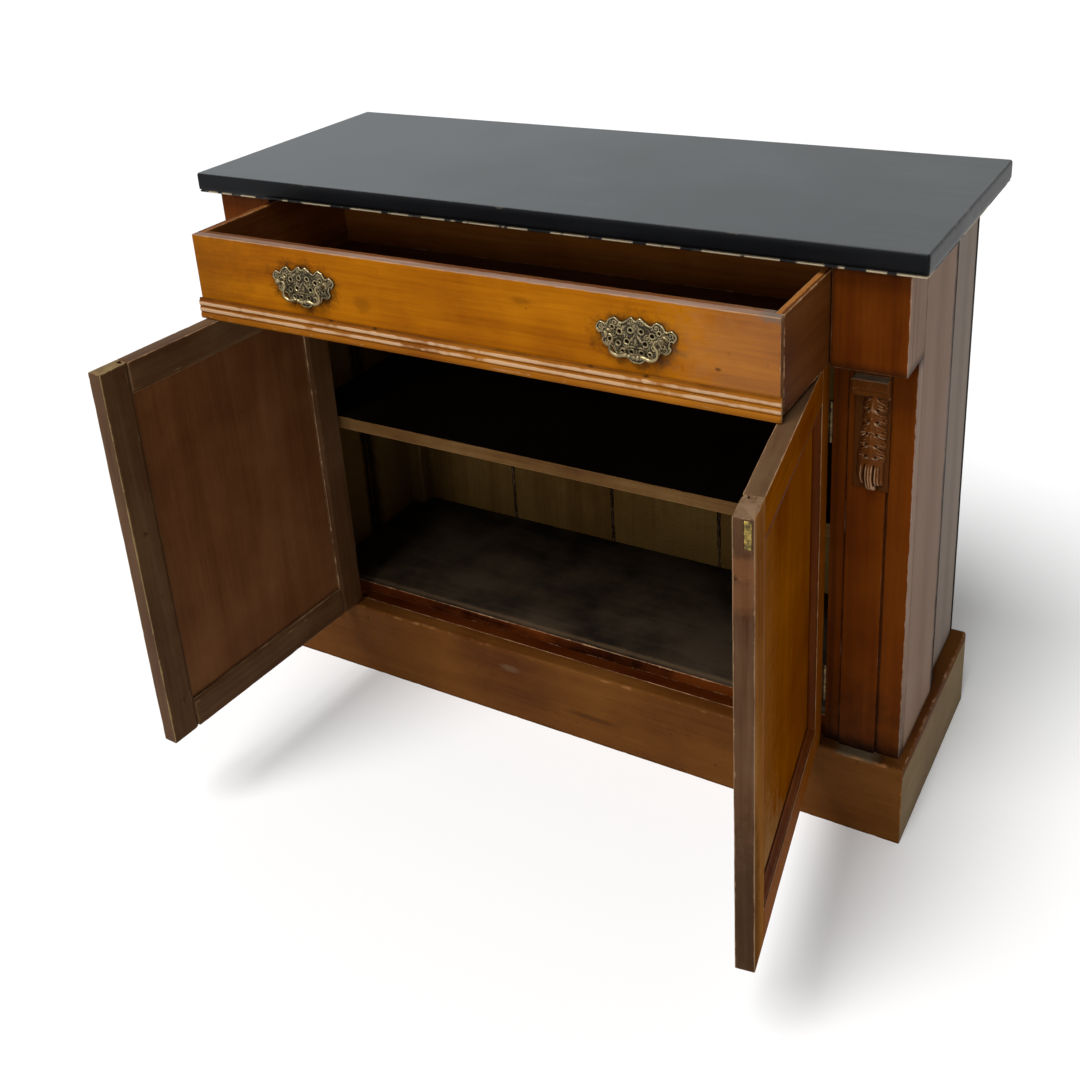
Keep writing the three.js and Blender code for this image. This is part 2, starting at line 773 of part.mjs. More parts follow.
function drawerBack() {
  const half = drawerInnerHalf - touchGap;
  return board(-half, half, drawerBackY - drawerSideThickness, drawerBackY, drawerGrooveHigh, drawerBackTop);
}

function drawerBottom() {
  const half = drawerInnerHalf + drawerGrooveDepth - touchGap;
  const front = blockY + drawerFrontThickness - drawerGrooveDepth + touchGap;
  const level = [drawerGrooveLow + touchGap, drawerGrooveHigh - touchGap];
  const narrow = board(-half, half, front + drawerGrooveDepth, drawerBackY, ...level, arris / 4);
  const tongueHalf = drawerInnerHalf - 2 * touchGap;
  const tongue = board(-tongueHalf, tongueHalf, front, front + 2 * drawerGrooveDepth, ...level, arris / 4);
  return joined(narrow, tongue);
}

// Reeded moulding along the foot of the drawer front: half rounds under a flat fillet.
const reedSteps = 6;

function drawerReeds() {
  const seat = blockY - touchGap;
  const reed = (reedHeight - reedFilletHeight) / reedCount;
  const outline = [[seat, drawerFrontBottom]];
  for (let k = 0; k < reedCount; k++) {
    for (let j = 0; j <= reedSteps; j++) {
      const angle = (Math.PI * j) / reedSteps;
      const out = (reedProjection * (1 + Math.sin(angle))) / 2;
      const up = reed * (k + (1 - Math.cos(angle)) / 2) + (j ? 0 : touchGap / 2);
      outline.push([seat - out, drawerFrontBottom + up]);
    }
  }
  outline.push([seat - reedProjection / 2, drawerFrontBottom + reedHeight]);
  outline.push([seat, drawerFrontBottom + reedHeight]);
  const half = drawerHalfWidth + reedOverhang;
  return prism(outline, "x", -half, half);
}

// Pierced handle plate: the right half of its outline, then the openings, as shares of the half sizes
const plateOutlineShares = [
  [0, 0.86], [0.1, 1], [0.24, 0.84], [0.36, 0.72], [0.5, 0.92], [0.66, 0.8], [0.74, 0.6], [0.88, 0.66],
  [1, 0.4], [0.93, 0.14], [0.82, 0.02], [0.86, -0.2], [0.74, -0.42], [0.6, -0.4], [0.52, -0.62],
  [0.38, -0.76], [0.26, -0.7], [0.16, -0.92], [0, -1],
];
const plateHoleShares = [
  [0.16, 0.46, 0.06], [0.36, 0.34, 0.054], [0.78, 0.3, 0.048], [0.2, -0.04, 0.066], [0.46, -0.12, 0.06],
  [0.66, -0.12, 0.042], [0.14, -0.5, 0.054], [0.34, -0.44, 0.042],
];
const plateSteps = 56;
const plateHoleSides = 8;

function handlePlate() {
  const right = plateOutlineShares.map(
    ([x, z]) => new THREE.Vector2(x * plateHalfWidth, z * plateHalfHeight),
  );
  const left = right.slice(1, -1).map((p) => new THREE.Vector2(-p.x, p.y)).reverse();
  const smooth = new THREE.SplineCurve([...right, ...left, right[0]]).getPoints(plateSteps * 2);
  const shape = new THREE.Shape(smooth.slice(0, -1));
  plateHoleShares.forEach(([x, z, r]) => {
    [1, -1].forEach((sign) => {
      const hole = new THREE.Path();
      const centre = [sign * x * plateHalfWidth, z * plateHalfHeight];
      for (let k = 0; k < plateHoleSides; k++) {
        const angle = (2 * Math.PI * k) / plateHoleSides;
        const [u, v] = [Math.cos(angle) * r * plateHalfWidth, Math.sin(angle) * r * plateHalfWidth];
        hole[k ? "lineTo" : "moveTo"](centre[0] + u, centre[1] + v);
      }
      shape.holes.push(hole);
    });
  });
  const depth = plateThickness - plateBevel;
  const plate = new THREE.ExtrudeGeometry(shape, { depth, bevelEnabled: false, curveSegments: 1 });
  return plate.rotateX(Math.PI / 2);
}

const postShares = [0, 0.1, 0.3, 0.45, 0.6, 0.8, 0.95, 1.05, 1.12];
const postRadiusShares = [1.5, 1.3, 0.8, 0.72, 1, 1.2, 1.1, 0.75, 0.2];
const postSides = 14;

function handlePost(sign) {
  const places = postShares.map((share) => -plateThickness / 2 - share * postLength);
  const radii = postRadiusShares.map((share) => share * postRadius);
  return turned("y", places, radii, [(sign * postSpacing) / 2, postLevel], postSides);
}

function handlePlateWithPosts() {
  const post = (sign) => {
    const middle = (sign * postSpacing) / 2;
    const places = [middle - sign * 2 * knobRadius, middle + touchGap * sign];
    const hole = turned("x", places, [pinHoleRadius, pinHoleRadius], [-bailPivotOut, postLevel], hingeSides);
    return without(handlePost(sign), hole);
  };
  return joined(handlePlate(), post(1), post(-1));
}

// Bail: a bar that swells in the middle, its ends turned outwards as pins in the posts
const bailPathShares = [
  [1, 0], [0.93, 0], [0.85, 0], [0.78, -0.05], [0.75, -0.24], [0.86, -0.5], [0.84, -0.82], [0.6, -0.99],
  [0.3, -0.9], [0, -0.98],
];
const bailRadiusShares = [1, 1, 1, 1.05, 1.2, 1.3, 1.35, 1.5, 1.75, 1.9];
const bailDrop = 27;
const bailSteps = 44;
const bailSides = 10;

function bail() {
  const half = bailPathShares.map(([x, z]) => [x * (postSpacing / 2 - 2 * touchGap), z * bailDrop]);
  const whole = [...half, ...half.slice(0, -1).map(([x, z]) => [-x, z]).reverse()];
  const points = whole.map(([x, z]) => new THREE.Vector3(x, 0, z));
  const path = new THREE.CatmullRomCurve3(points, false, "centripetal");
  const swell = [...bailRadiusShares, ...bailRadiusShares.slice(0, -1).reverse()];
  const forward = new THREE.Vector3(0, 1, 0);
  const rings = Array.from({ length: bailSteps + 1 }, (_, i) => {
    const t = i / bailSteps;
    const centre = path.getPoint(t);
    const side = path.getTangent(t).cross(forward).normalize();
    const radius = Math.min(bailEndRadius * eased(swell, t), bailMiddleRadius);
    return Array.from({ length: bailSides }, (_, k) => {
      const angle = (2 * Math.PI * k) / bailSides;
      const point = centre.clone().addScaledVector(side, radius * Math.cos(angle));
      return point.addScaledVector(forward, radius * Math.sin(angle)).toArray();
    });
  });
  return loft(rings);
}

function addHandle(side, drawer) {
  const sign = side === "right" ? 1 : -1;
  const handle = new THREE.Group();
  handle.position.set(sign * handleOffset + handleShift, blockY - touchGap, handleHeight);
  add(`handle_plate_${side}`, handlePlateWithPosts(), "brass", handle);
  const swing = new THREE.Group();
  swing.position.set(0, -bailPivotOut, postLevel);
  add(`handle_bail_${side}`, bail(), "brass", swing);
  handle.add(swing);
  drawer.add(handle);
}

function addDrawer() {
  const drawer = new THREE.Group();
  drawer.position.y = -drawerPulledOut;
  add("drawer_front", drawerFront(), "amber", drawer);
  add("drawer_reeded_moulding", drawerReeds(), "amber", drawer);
  addPair("drawer_side", drawerSide(), "inner", drawer);
  add("drawer_back", drawerBack(), "inner", drawer);
  add("drawer_bottom", drawerBottom(), "inner", drawer);
  addHandle("left", drawer);
  addHandle("right", drawer);
  cabinet.add(drawer);
}

function addCarcass() {
  add("top_board", topBoard(), "black");
  add("plinth_front", plinthFront(), "brown");
  addPair("plinth_side", plinthSide(), "dusty");
  add("bottom_rail", bottomRail(), "brown");
  addPair("side_front_board", sideFrontBoard(), "dusty");
  addPair("side_rear_board", sideRearBoard(), "dusty");
  const edges = backJointShares.map((share) => rearOuterHalf * (2 * share - 1));
  edges.slice(1).forEach((edge, i) => {
    add(`back_board_${i + 1}`, backBoard(edges[i] + backJointWidth / 2, edge - backJointWidth / 2), "plank");
  });
  addPair("rear_post", rearPost(), "plank");
  addPair("pilaster", pilaster(), "brown");
  addPair("frieze_block", friezeBlock(), "brown");
  addPair("corbel", corbel(), "brown");
  add("floor_board", floorBoard(), "inner");
  add("shelf", shelf(), "plank");
  addPair("shelf_bearer", shelfBearer(), "plank");
  add("drawer_rail", drawerRail(), "inner");
  addPair("drawer_runner", drawerRunner(), "plank");
}

addCarcass();
addDoor("left");
addDoor("right");
addDrawer();

export default cabinet;
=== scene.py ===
"""Side cabinet: the looks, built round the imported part.

Metres, +Z up, the front faces -Y, the origin on the floor under the middle of the plinth's front.
"""

import json
import math

import bpy
import numpy as np
from mathutils import Matrix, Vector


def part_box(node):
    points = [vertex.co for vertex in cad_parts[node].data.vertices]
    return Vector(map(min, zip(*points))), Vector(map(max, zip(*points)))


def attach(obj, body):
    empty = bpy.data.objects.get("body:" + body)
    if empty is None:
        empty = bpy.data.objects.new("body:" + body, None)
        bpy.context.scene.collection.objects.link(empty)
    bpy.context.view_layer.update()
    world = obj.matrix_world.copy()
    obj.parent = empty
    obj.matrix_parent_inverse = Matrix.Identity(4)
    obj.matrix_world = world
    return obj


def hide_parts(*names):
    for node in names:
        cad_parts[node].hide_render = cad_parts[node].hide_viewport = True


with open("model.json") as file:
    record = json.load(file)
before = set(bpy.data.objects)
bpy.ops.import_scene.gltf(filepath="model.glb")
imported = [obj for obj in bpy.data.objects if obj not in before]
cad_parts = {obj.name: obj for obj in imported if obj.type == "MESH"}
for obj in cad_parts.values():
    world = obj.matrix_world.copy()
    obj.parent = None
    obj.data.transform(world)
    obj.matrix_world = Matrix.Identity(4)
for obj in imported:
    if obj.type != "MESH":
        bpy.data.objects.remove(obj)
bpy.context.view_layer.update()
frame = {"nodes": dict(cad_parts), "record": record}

MM = 0.001
X, Y, Z = 0, 1, 2
hands = ("right", "left")

# Which body each node rides on
behaviour = frame["record"]["behaviour"]
body_of = {node: body for body, nodes in behaviour["bodies"].items() for node in nodes}

# The doors as they stand: the upright hinge axis of each, and how far it is turned from shut
hinges = {joint["child"]: joint for joint in behaviour["joints"] if joint["child"].startswith("door_")}
hinge_axis = {door: hinge["pos_m"][:2] for door, hinge in hinges.items()}
door_turn = {door: math.radians(-hinge["axis"][Z] * hinge["range_deg"][0]) for door, hinge in hinges.items()}


# Surfaces worked out with numpy


def knots(points, size, seed):
    """Smooth uneven values from 0 to 1: random heights on a lattice of that size, eased between corners."""
    table = np.random.default_rng(seed).random((32, 32, 32))
    place = points / size
    cell = np.floor(place).astype(int)
    part = place - cell
    part = part * part * (3 - 2 * part)
    total = np.zeros(points.shape[:-1])
    for corner in np.ndindex(2, 2, 2):
        weight = np.prod(np.where(corner, part, 1 - part), axis=-1)
        i, j, k = np.moveaxis((cell + corner) % 32, -1, 0)
        total += weight * table[i, j, k]
    return total


def uneven_share(points, seed):
    """How worn a place is, around 0 to 1: broad swells, small ones, and a few deep nicks."""
    broad, small, nick_size = 34 * MM, 9 * MM, 13 * MM
    soft = knots(points, broad, seed) * 0.6 + knots(points, small, seed + 1) * 0.4
    nick = np.clip(knots(points, nick_size, seed + 2) - 0.8, 0, 1) * 5
    least, most = 0.15, 1.3
    return np.clip(0.2 + 0.8 * soft**2 + nick, least, most)


def skin(points, faces, caps=(), wear=None):
    """A closed surface: points, four-cornered faces, flat end faces, and a wear value for each point.

    The value is below 0 where the point is rubbed bare and above 0 in hollows, which are darkened with dirt
    and painted shade. A surface that looks inwards, which its volume tells by being below 0, is turned round.
    """
    points = np.asarray(points, float).reshape(-1, 3)
    wear = np.zeros(len(points)) if wear is None else np.asarray(wear, float).ravel()
    a, b, c, d = (points[faces[:, k]] for k in range(4))
    volume = np.einsum("ij,ij->i", a, np.cross(b, c) + np.cross(c, d)).sum()
    for cap in caps:
        ring = points[cap]
        volume += (np.cross(ring[1:-1], ring[2:]) @ ring[0]).sum()
    if volume < 0:
        faces = faces[:, ::-1]
        caps = [cap[::-1] for cap in caps]
    return {"points": points, "faces": faces, "caps": list(caps), "wear": wear}


def together(*skins):
    """Several closed surfaces in one."""
    start, faces, caps = 0, [], []
    for one in skins:
        faces.append(one["faces"] + start)
        caps += [cap + start for cap in one["caps"]]
        start += len(one["points"])
    return {
        "points": np.concatenate([one["points"] for one in skins]),
        "faces": np.concatenate(faces),
        "caps": caps,
        "wear": np.concatenate([one["wear"] for one in skins]),
    }


def new_piece(name, surface, nodes, material):
    """A mesh of that surface that stands for CAD nodes, and takes their body and finish."""
    faces, caps = surface["faces"], surface["caps"]
    used, corners = np.unique(np.concatenate([faces.ravel(), *caps]).astype(int), return_inverse=True)
    sizes = np.concatenate([np.full(len(faces), 4), [len(cap) for cap in caps]]).astype(np.int32)
    mesh = bpy.data.meshes.new(name)
    mesh.vertices.add(len(used))
    mesh.vertices.foreach_set("co", surface["points"][used].astype(np.float32).ravel())
    mesh.loops.add(len(corners))
    mesh.loops.foreach_set("vertex_index", corners.astype(np.int32))
    mesh.polygons.add(len(sizes))
    mesh.polygons.foreach_set("loop_start", (np.cumsum(sizes) - sizes).astype(np.int32))
    smooth = np.ones(len(sizes), bool)
    smooth[len(faces):] = False
    mesh.polygons.foreach_set("use_smooth", smooth)
    mesh.update(calc_edges=True)
    layer = mesh.attributes.new("wear", "FLOAT", "POINT")
    layer.data.foreach_set("value", surface["wear"][used].astype(np.float32))
    piece = bpy.data.objects.new(name, mesh)
    bpy.context.scene.collection.objects.link(piece)
    piece.data.materials.append(material)
    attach(piece, body_of[nodes[0]])
    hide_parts(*nodes)
    return piece


def lattice_places(low, high, step, rim):
    """Places along one side of a board: close together in the worn rim at both ends, then one step apart."""
    near = rim * np.array([0, 0.18, 0.42, 0.72, 1.05, 1.5])
    near = near[near < (high - low) * 0.45]
    count = max(int((high - low - 2 * near[-1]) / step), 1)
    middle = np.linspace(low + near[-1], high - near[-1], count + 1)
    return np.concatenate([low + near[:-1], middle, (high - near[:-1])[::-1]])


def board_skin(axes):
    """The six faces of a box as one closed lattice of points over the places along its three sides."""
    shape = [len(places) for places in axes]
    faces = []
    for axis in range(3):
        b, c = (axis + 1) % 3, (axis + 2) % 3
        for end in (0, shape[axis] - 1):
            grid = np.zeros((3, shape[b], shape[c]), int)
            grid[axis] = end
            grid[b] = np.arange(shape[b])[:, None]
            grid[c] = np.arange(shape[c])[None, :]
            key = np.ravel_multi_index(tuple(grid), shape)
            quads = np.stack([key[:-1, :-1], key[1:, :-1], key[1:, 1:], key[:-1, 1:]], -1).reshape(-1, 4)
            faces.append(quads if end else quads[:, ::-1])
    used, quads = np.unique(np.concatenate(faces), return_inverse=True)
    corners = np.unravel_index(used, shape)
    return np.stack([axes[a][corners[a]] for a in range(3)], -1), quads.reshape(-1, 4)


def rounded(points, low, high, radius):
    """Box points with rounded edges. The radius may differ from point to point.

    A point within one radius of the faces is carried from a cube's skin to a ball's, by the ratio of its
    largest offset to its straight distance.
    """
    radius = np.broadcast_to(radius, points.shape[:1])[:, None]
    core = np.clip(points, low + radius, high - radius)
    out = points - core
    straight = np.maximum(np.linalg.norm(out, axis=-1, keepdims=True), 1e-9)
    return core + out * np.abs(out).max(-1, keepdims=True) / straight


def worn_skin(low, high, step, wear, seed):
    """A box with rounded edges whose radius swells and shrinks from place to place."""
    low, high = np.array(low), np.array(high)
    points, faces = board_skin([lattice_places(low[a], high[a], step, wear) for a in range(3)])
    widest = (high - low).min() * 0.42
    radius = np.minimum(wear * uneven_share(points, seed), widest)
    bare = rounded(points, low, high, radius)
    rubbed_bare = 0.5 * MM
    rubbed = np.linalg.norm(points - bare, axis=-1) / rubbed_bare
    return skin(bare, faces, wear=-np.clip(rubbed, 0, 1))


def worn_board(node, step, wear, seed):
    """A CAD board dressed with worn edges."""
    return new_piece("worn_" + node, worn_skin(*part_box(node), step, wear, seed), [node], finish_of[node])


def worn_section(corners, wear, walk_step=0.2 * MM):
    """A closed outline walked in small even steps, crisp and worn.

    A point of the worn outline is the mean of the crisp ones within the wear's reach, taken twice. The
    places kept lie close together near the outline's corners.
    """
    corners = np.asarray(corners, float)
    legs = np.linalg.norm(np.roll(corners, -1, 0) - corners, axis=1)
    reach = np.concatenate([[0], np.cumsum(legs)])
    closed = np.vstack([corners, corners[:1]])
    walk = np.arange(0, reach[-1] - walk_step / 2, walk_step)
    crisp = np.stack([np.interp(walk, reach, closed[:, k]) for k in range(2)], -1)
    width = max(int(wear / walk_step), 1)
    worn = crisp
    for _ in range(2):
        padded = np.concatenate([worn[-width:], worn, worn[: width + 1]])
        total = np.concatenate([np.zeros((1, 2)), np.cumsum(padded, 0)])
        worn = (total[2 * width + 1 :] - total[: -2 * width - 1])[: len(crisp)] / (2 * width + 1)
    nearest = np.abs(walk[:, None] - reach[None, :]).min(1)
    closest, growth = 0.45 * MM, 0.3
    density = walk_step / (closest + growth * nearest)
    kept = np.flatnonzero(np.diff(np.floor(np.cumsum(density)), prepend=-1) > 0)
    return crisp[kept], worn[kept]


def ring_skin(rings, wear=None):
    """Rings of points, one after another along a run, with a flat face over each end."""
    count, around = rings.shape[:2]
    key = np.arange(count * around).reshape(count, around)
    turn = np.roll(key, -1, axis=1)
    faces = np.stack([key[:-1], turn[:-1], turn[1:], key[1:]], -1).reshape(-1, 4)
    return skin(rings, faces, [key[0][::-1], key[-1]], wear)


def worn_run(corners, axis, ends, step, wear, seed, extra=(), worn_at=None):
    """An outline carried along an axis, and drawn in near both ends to round them.

    At each place it lies between its crisp and its worn form by an uneven share. Ends gives the run's two
    ends, for the whole outline or for each of its points, and extra gives more places along the run. The
    wear value is how far the worn form lies inside the crisp one, or outside it in the hollows, unless
    worn_at gives it for the outline's points.
    """
    crisp, worn = worn_section(corners, wear)
    low, high = (np.broadcast_to(end, len(crisp)) for end in (ends(crisp) if callable(ends) else ends))
    length = float(np.max(high - low))
    tight = min(wear, 1.2 * MM)
    angle = np.linspace(0, math.pi / 2, 4)
    near, drawn = tight * (1 - np.cos(angle)) / length, tight * (1 - np.sin(angle))
    middle = np.linspace(near[-1], 1 - near[-1], max(int(length / step), 2))
    middle = np.union1d(middle[1:-1], (np.array(extra) - low.min()) / length if len(extra) else [])
    share = np.concatenate([near, middle, 1 - near[::-1]])
    inset = np.concatenate([drawn, np.zeros(len(middle)), drawn[::-1]])

    tangent = np.roll(worn, -1, 0) - np.roll(worn, 1, 0)
    outward = np.stack([tangent[:, 1], -tangent[:, 0]], -1)
    outward /= np.maximum(np.linalg.norm(outward, axis=1, keepdims=True), 1e-12)
    following = np.roll(crisp, -1, 0)
    if (crisp[:, 0] * following[:, 1] - crisp[:, 1] * following[:, 0]).sum() < 0:
        outward = -outward
    lift = ((worn - crisp) * outward).sum(1)

    rings = np.empty((len(share), len(crisp), 3))
    rings[..., axis] = low + (high - low) * share[:, None]
    across = [(axis + 1) % 3, (axis + 2) % 3]
    rings[..., across] = crisp
    worn_share = uneven_share(rings, seed)[..., None]
    rings[..., across] = crisp + (worn - crisp) * worn_share - outward * inset[:, None, None]
    rubbed_bare = 0.35 * MM
    lift = worn_at(crisp) if worn_at else lift / rubbed_bare
    value = np.clip(lift * worn_share[..., 0], -1, 1)
    at_end = np.minimum(value, -0.6 * inset[:, None] / tight)
    return ring_skin(rings, np.where(inset[:, None] > 0, at_end, value))


def plate_skin(front, back, kept, wear=None):
    """A plate over the kept cells of a grid: a front sheet, a back sheet turned the other way, and walls.

    A wall stands wherever a kept cell has no kept neighbour.
    """
    rows, columns = kept.shape
    key = np.arange((rows + 1) * (columns + 1)).reshape(rows + 1, columns + 1)
    a, b, c, d = key[:-1, :-1], key[1:, :-1], key[1:, 1:], key[:-1, 1:]
    behind = key.size
    faces = [np.stack([a, b, c, d], -1)[kept], np.stack([d, c, b, a], -1)[kept] + behind]
    padded = np.pad(kept, 1)
    sides = [
        (a, b, padded[1:-1, :-2]),
        (b, c, padded[2:, 1:-1]),
        (c, d, padded[1:-1, 2:]),
        (d, a, padded[:-2, 1:-1]),
    ]
    for start, end, neighbour in sides:
        bare = kept & ~neighbour
        first, last = start[bare], end[bare]
        faces.append(np.stack([first, first + behind, last + behind, last], -1))
    points = np.concatenate([front.reshape(-1, 3), back.reshape(-1, 3)])
    if wear is not None:
        wear = np.concatenate([wear.ravel(), wear.ravel() * 0])
    return skin(points, np.concatenate(faces), wear=wear)


def softened(heights, rounds):
    """Each height of a grid made the mean of itself and its four neighbours, over and over."""
    for _ in range(rounds):
        edge = np.pad(heights, 1, mode="edge")
        heights = (edge[1:-1, 1:-1] + edge[:-2, 1:-1] + edge[2:, 1:-1] + edge[1:-1, :-2] + edge[1:-1, 2:]) / 5
    return heights


def curve_through(points, steps, closed=False):
    """A smooth curve through points.

    Between two of them it is the cubic whose slope at each is half the step from the point before to the
    point after.
    """
    points = np.asarray(points, float)
    if closed:
        before, start, end, after = (np.roll(points, k, 0) for k in (1, 0, -1, -2))
    else:
        padded = np.vstack([2 * points[0] - points[1], points, 2 * points[-1] - points[-2]])
        before, start, end, after = padded[:-3], padded[1:-2], padded[2:-1], padded[3:]
    t = np.linspace(0, 1, steps, endpoint=False)[None, :, None]
    before, start, end, after = (p[:, None, :] for p in (before, start, end, after))
    curve = start + t * (end - before) / 2
    curve = curve + t**2 * (before - 2.5 * start + 2 * end - after / 2)
    curve = curve + t**3 * (1.5 * start - before / 2 - 1.5 * end + after / 2)
    curve = curve.reshape(-1, points.shape[1])
    return curve if closed else np.vstack([curve, points[-1:]])


def between_rows(table, share):
    """The value of an evenly spaced table at a share of its length, eased between its entries."""
    place = np.clip(share, 0, 1) * (len(table) - 1)
    row = np.minimum(place.astype(int), len(table) - 2)
    part = (1 - np.cos((place - row) * math.pi)) / 2
    table = np.array(table)
    return table[row] + (table[row + 1] - table[row]) * part


# Finishes


class Finish:
    """A material or world being put together: put adds one node, and the methods after it give an output."""

    def __init__(self, owner, end="ShaderNodeOutputMaterial"):
        self.owner = owner
        owner.use_nodes = True
        self.tree = owner.node_tree
        self.tree.nodes.clear()
        self.end = self.tree.nodes.new(end)

    def put(self, kind, inputs=(), **settings):
        made = self.tree.nodes.new(kind)
        for key, value in settings.items():
            setattr(made, key, value)
        for key, value in dict(inputs).items():
            if isinstance(value, bpy.types.NodeSocket):
                self.tree.links.new(value, made.inputs[key])
            else:
                made.inputs[key].default_value = value
        return made

    def sum(self, operation, *values, clamp=False):
        made = self.put("ShaderNodeMath", dict(enumerate(values)), operation=operation, use_clamp=clamp)
        return made.outputs[0]

    def mixed(self, *terms, start=0.0):
        """A sum of values, each times its share."""
        total = start
        for share, value in terms:
            total = self.sum("MULTIPLY_ADD", value, share, total)
        return total

    def vector(self, operation, *values):
        return self.put("ShaderNodeVectorMath", dict(enumerate(values)), operation=operation).outputs[0]

    def noise(self, place, scale, detail=3.0, rough=0.5, bend=0.0):
        made = self.put(
            "ShaderNodeTexNoise",
            {"Vector": place, "Scale": scale, "Detail": detail, "Roughness": rough, "Distortion": bend},
        )
        return made.outputs["Fac"]

    def between(self, value, low, high, to_low=0.0, to_high=1.0):
        """A value eased from one range to another."""
        made = self.put(
            "ShaderNodeMapRange",
            {"Value": value, "From Min": low, "From Max": high, "To Min": to_low, "To Max": to_high},
            interpolation_type="SMOOTHSTEP",
        )
        return made.outputs["Result"]

    def blend(self, share, first, second):
        """From the first colour to the second, by a share."""
        return self.put("ShaderNodeMix", {0: share, 6: first, 7: second}, data_type="RGBA").outputs[2]

    def ramp(self, value, *colours):
        """Colours at even steps from 0 to 1."""
        made = self.put("ShaderNodeValToRGB", {0: value})
        stops = made.color_ramp.elements
        while len(stops) < len(colours):
            stops.new(0.5)
        for k, colour in enumerate(colours):
            stops[k].position = k / (len(colours) - 1)
            stops[k].color = colour
        return made.outputs[0]

    def place(self):
        """Where a point is, in the piece's own metres."""
        return self.put("ShaderNodeTexCoord").outputs["Object"]

    def stretched(self, place, **changes):
        """A place moved, turned or scaled along the axes."""
        inputs = {key.capitalize(): value for key, value in changes.items()}
        return self.put("ShaderNodeMapping", {"Vector": place, **inputs}).outputs[0]

    def parts(self, vector):
        """The three parts of a vector."""
        return self.put("ShaderNodeSeparateXYZ", {0: vector}).outputs

    def upward(self):
        """How far the surface looks up: 1 for level, 0 for upright."""
        return self.parts(self.put("ShaderNodeNewGeometry").outputs["Normal"])[Z]

    def seen(self):
        """1 where the camera looks, also past a mirror or through glass, and 0 where only light goes."""
        path = self.put("ShaderNodeLightPath").outputs
        mirrored = self.sum("MAXIMUM", path["Is Camera Ray"], path["Is Glossy Ray"])
        return self.sum("MAXIMUM", mirrored, path["Is Transmission Ray"])

    def wear(self):
        """Rubbed and hollow shares from the piece's own wear value; hollows are darkened by dirt and tarnish,
        and on carving and mouldings also by painted shade.
        """
        value = self.put("ShaderNodeAttribute", attribute_name="wear").outputs["Fac"]
        return self.sum("MULTIPLY", value, -1.0, clamp=True), self.sum("MULTIPLY", value, 1.0, clamp=True)

    def bump(self, height, depth, strength):
        inputs = {"Height": height, "Distance": depth, "Strength": strength}
        return self.put("ShaderNodeBump", inputs).outputs[0]

    def finished_with(self, shader):
        """The owner, which now shows that shader."""
        self.tree.links.new(shader.outputs[0], self.end.inputs[0])
        return self.owner

    def done(self, **inputs):
        """The material, with a plain shader that takes these inputs."""
        named = {key.replace("_", " "): value for key, value in inputs.items()}
        return self.finished_with(self.put("ShaderNodeBsdfPrincipled", named))


def new_finish(name):
    return Finish(bpy.data.materials.new(name))


def rgb(red, green, blue):
    """A colour written as it shows, from 0 to 255, as the linear values that a shader takes."""
    shown = np.array([red, green, blue]) / 255
    linear = np.where(shown <= 0.04045, shown / 12.92, ((shown + 0.055) / 1.055) ** 2.4)
    return (*(float(value) for value in linear), 1.0)


def turned_box(node, turn):
    """The box round a node, on axes turned with its door."""
    mesh = frame["nodes"][node].data
    points = np.empty(len(mesh.vertices) * 3, np.float32)
    mesh.vertices.foreach_get("co", points)
    points = points.reshape(-1, 3)
    cos, sin = math.cos(turn), math.sin(turn)
    x, y, z = points.T
    flat = np.stack([x * cos + y * sin, y * cos - x * sin, z], -1)
    return flat.min(0), flat.max(0)


def middle_of(node):
    """The middle of a node's box, across and up."""
    low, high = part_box(node)
    return float(low[X] + high[X]) / 2, float(low[Z] + high[Z]) / 2


def edge_distance(make, place, low, high):
    """How far a surface point of a box is from its nearest edge.

    That is the middle one of its distances to the three pairs of faces.
    """
    centre = (np.array(low) + np.array(high)) / 2
    half = (np.array(high) - np.array(low)) / 2
    off = make.vector("ABSOLUTE", make.vector("SUBTRACT", place, tuple(centre)))
    inside = make.vector("SUBTRACT", tuple(half), off)
    a, b, c = make.parts(inside)
    smaller, larger = make.sum("MINIMUM", a, b), make.sum("MAXIMUM", a, b)
    return make.sum("MAXIMUM", smaller, make.sum("MINIMUM", larger, c))


def wood_tones(middle, depth=0.4):
    """Dark, middle and light of one wood: the dark is redder than the middle, the light is yellower."""
    middle = np.array(rgb(*middle)[:3])
    dark = middle * (1 - depth) * (1, 0.8, 0.75)
    light = np.clip(middle * (1 + depth) * (1, 1.12, 1.3), 0, 0.9)
    return [(*(float(v) for v in colour), 1.0) for colour in (dark, middle, light)]


# Wood colours, as they show
tones = {
    "amber": (148, 84, 4),
    "amber_door": (116, 60, 2),
    # The right door's lock stile: paler for rubbed polish and for a painted sheen
    "amber_rubbed_and_sheen": (142, 92, 42),
    "reeds": (132, 76, 14),
    "brown": (92, 42, 4),
    "corbel": (100, 56, 20),
    "plinth": (88, 51, 17),
    "rail": (66, 27, 4),
    "door_inside": (102, 63, 34),
    "door_stile": (88, 62, 38),
    "hinge_stile": (80, 54, 32),
    "free_edge": (84, 60, 42),
    "rubbed_edge": (138, 108, 90),
    "drawer_side": (86, 46, 14),
    "side": (134, 108, 90),
    "side_rear": (132, 117, 104),
    "beige": (122, 102, 72),
    "bare": (92, 68, 32),
    "drawer_inside": (98, 54, 20),
    "drawer_lining": (146, 92, 42),
    "drawer_back": (112, 64, 20),
    "floor": (36, 25, 13),
    # The shelf's near-black stands for dark wood and painted shade
    "shelf": (18, 10, 5),
    "shelf_front": (112, 80, 44),
}
pale_wood = rgb(178, 140, 104)
# Near-black for dirt and dark marks, and for painted shade: under the slab and the frieze blocks, at the
# pilasters' feet and quirks, at the step in the sides, round the handles.
grime_and_shade = rgb(18, 10, 6)
dust = rgb(150, 138, 122)


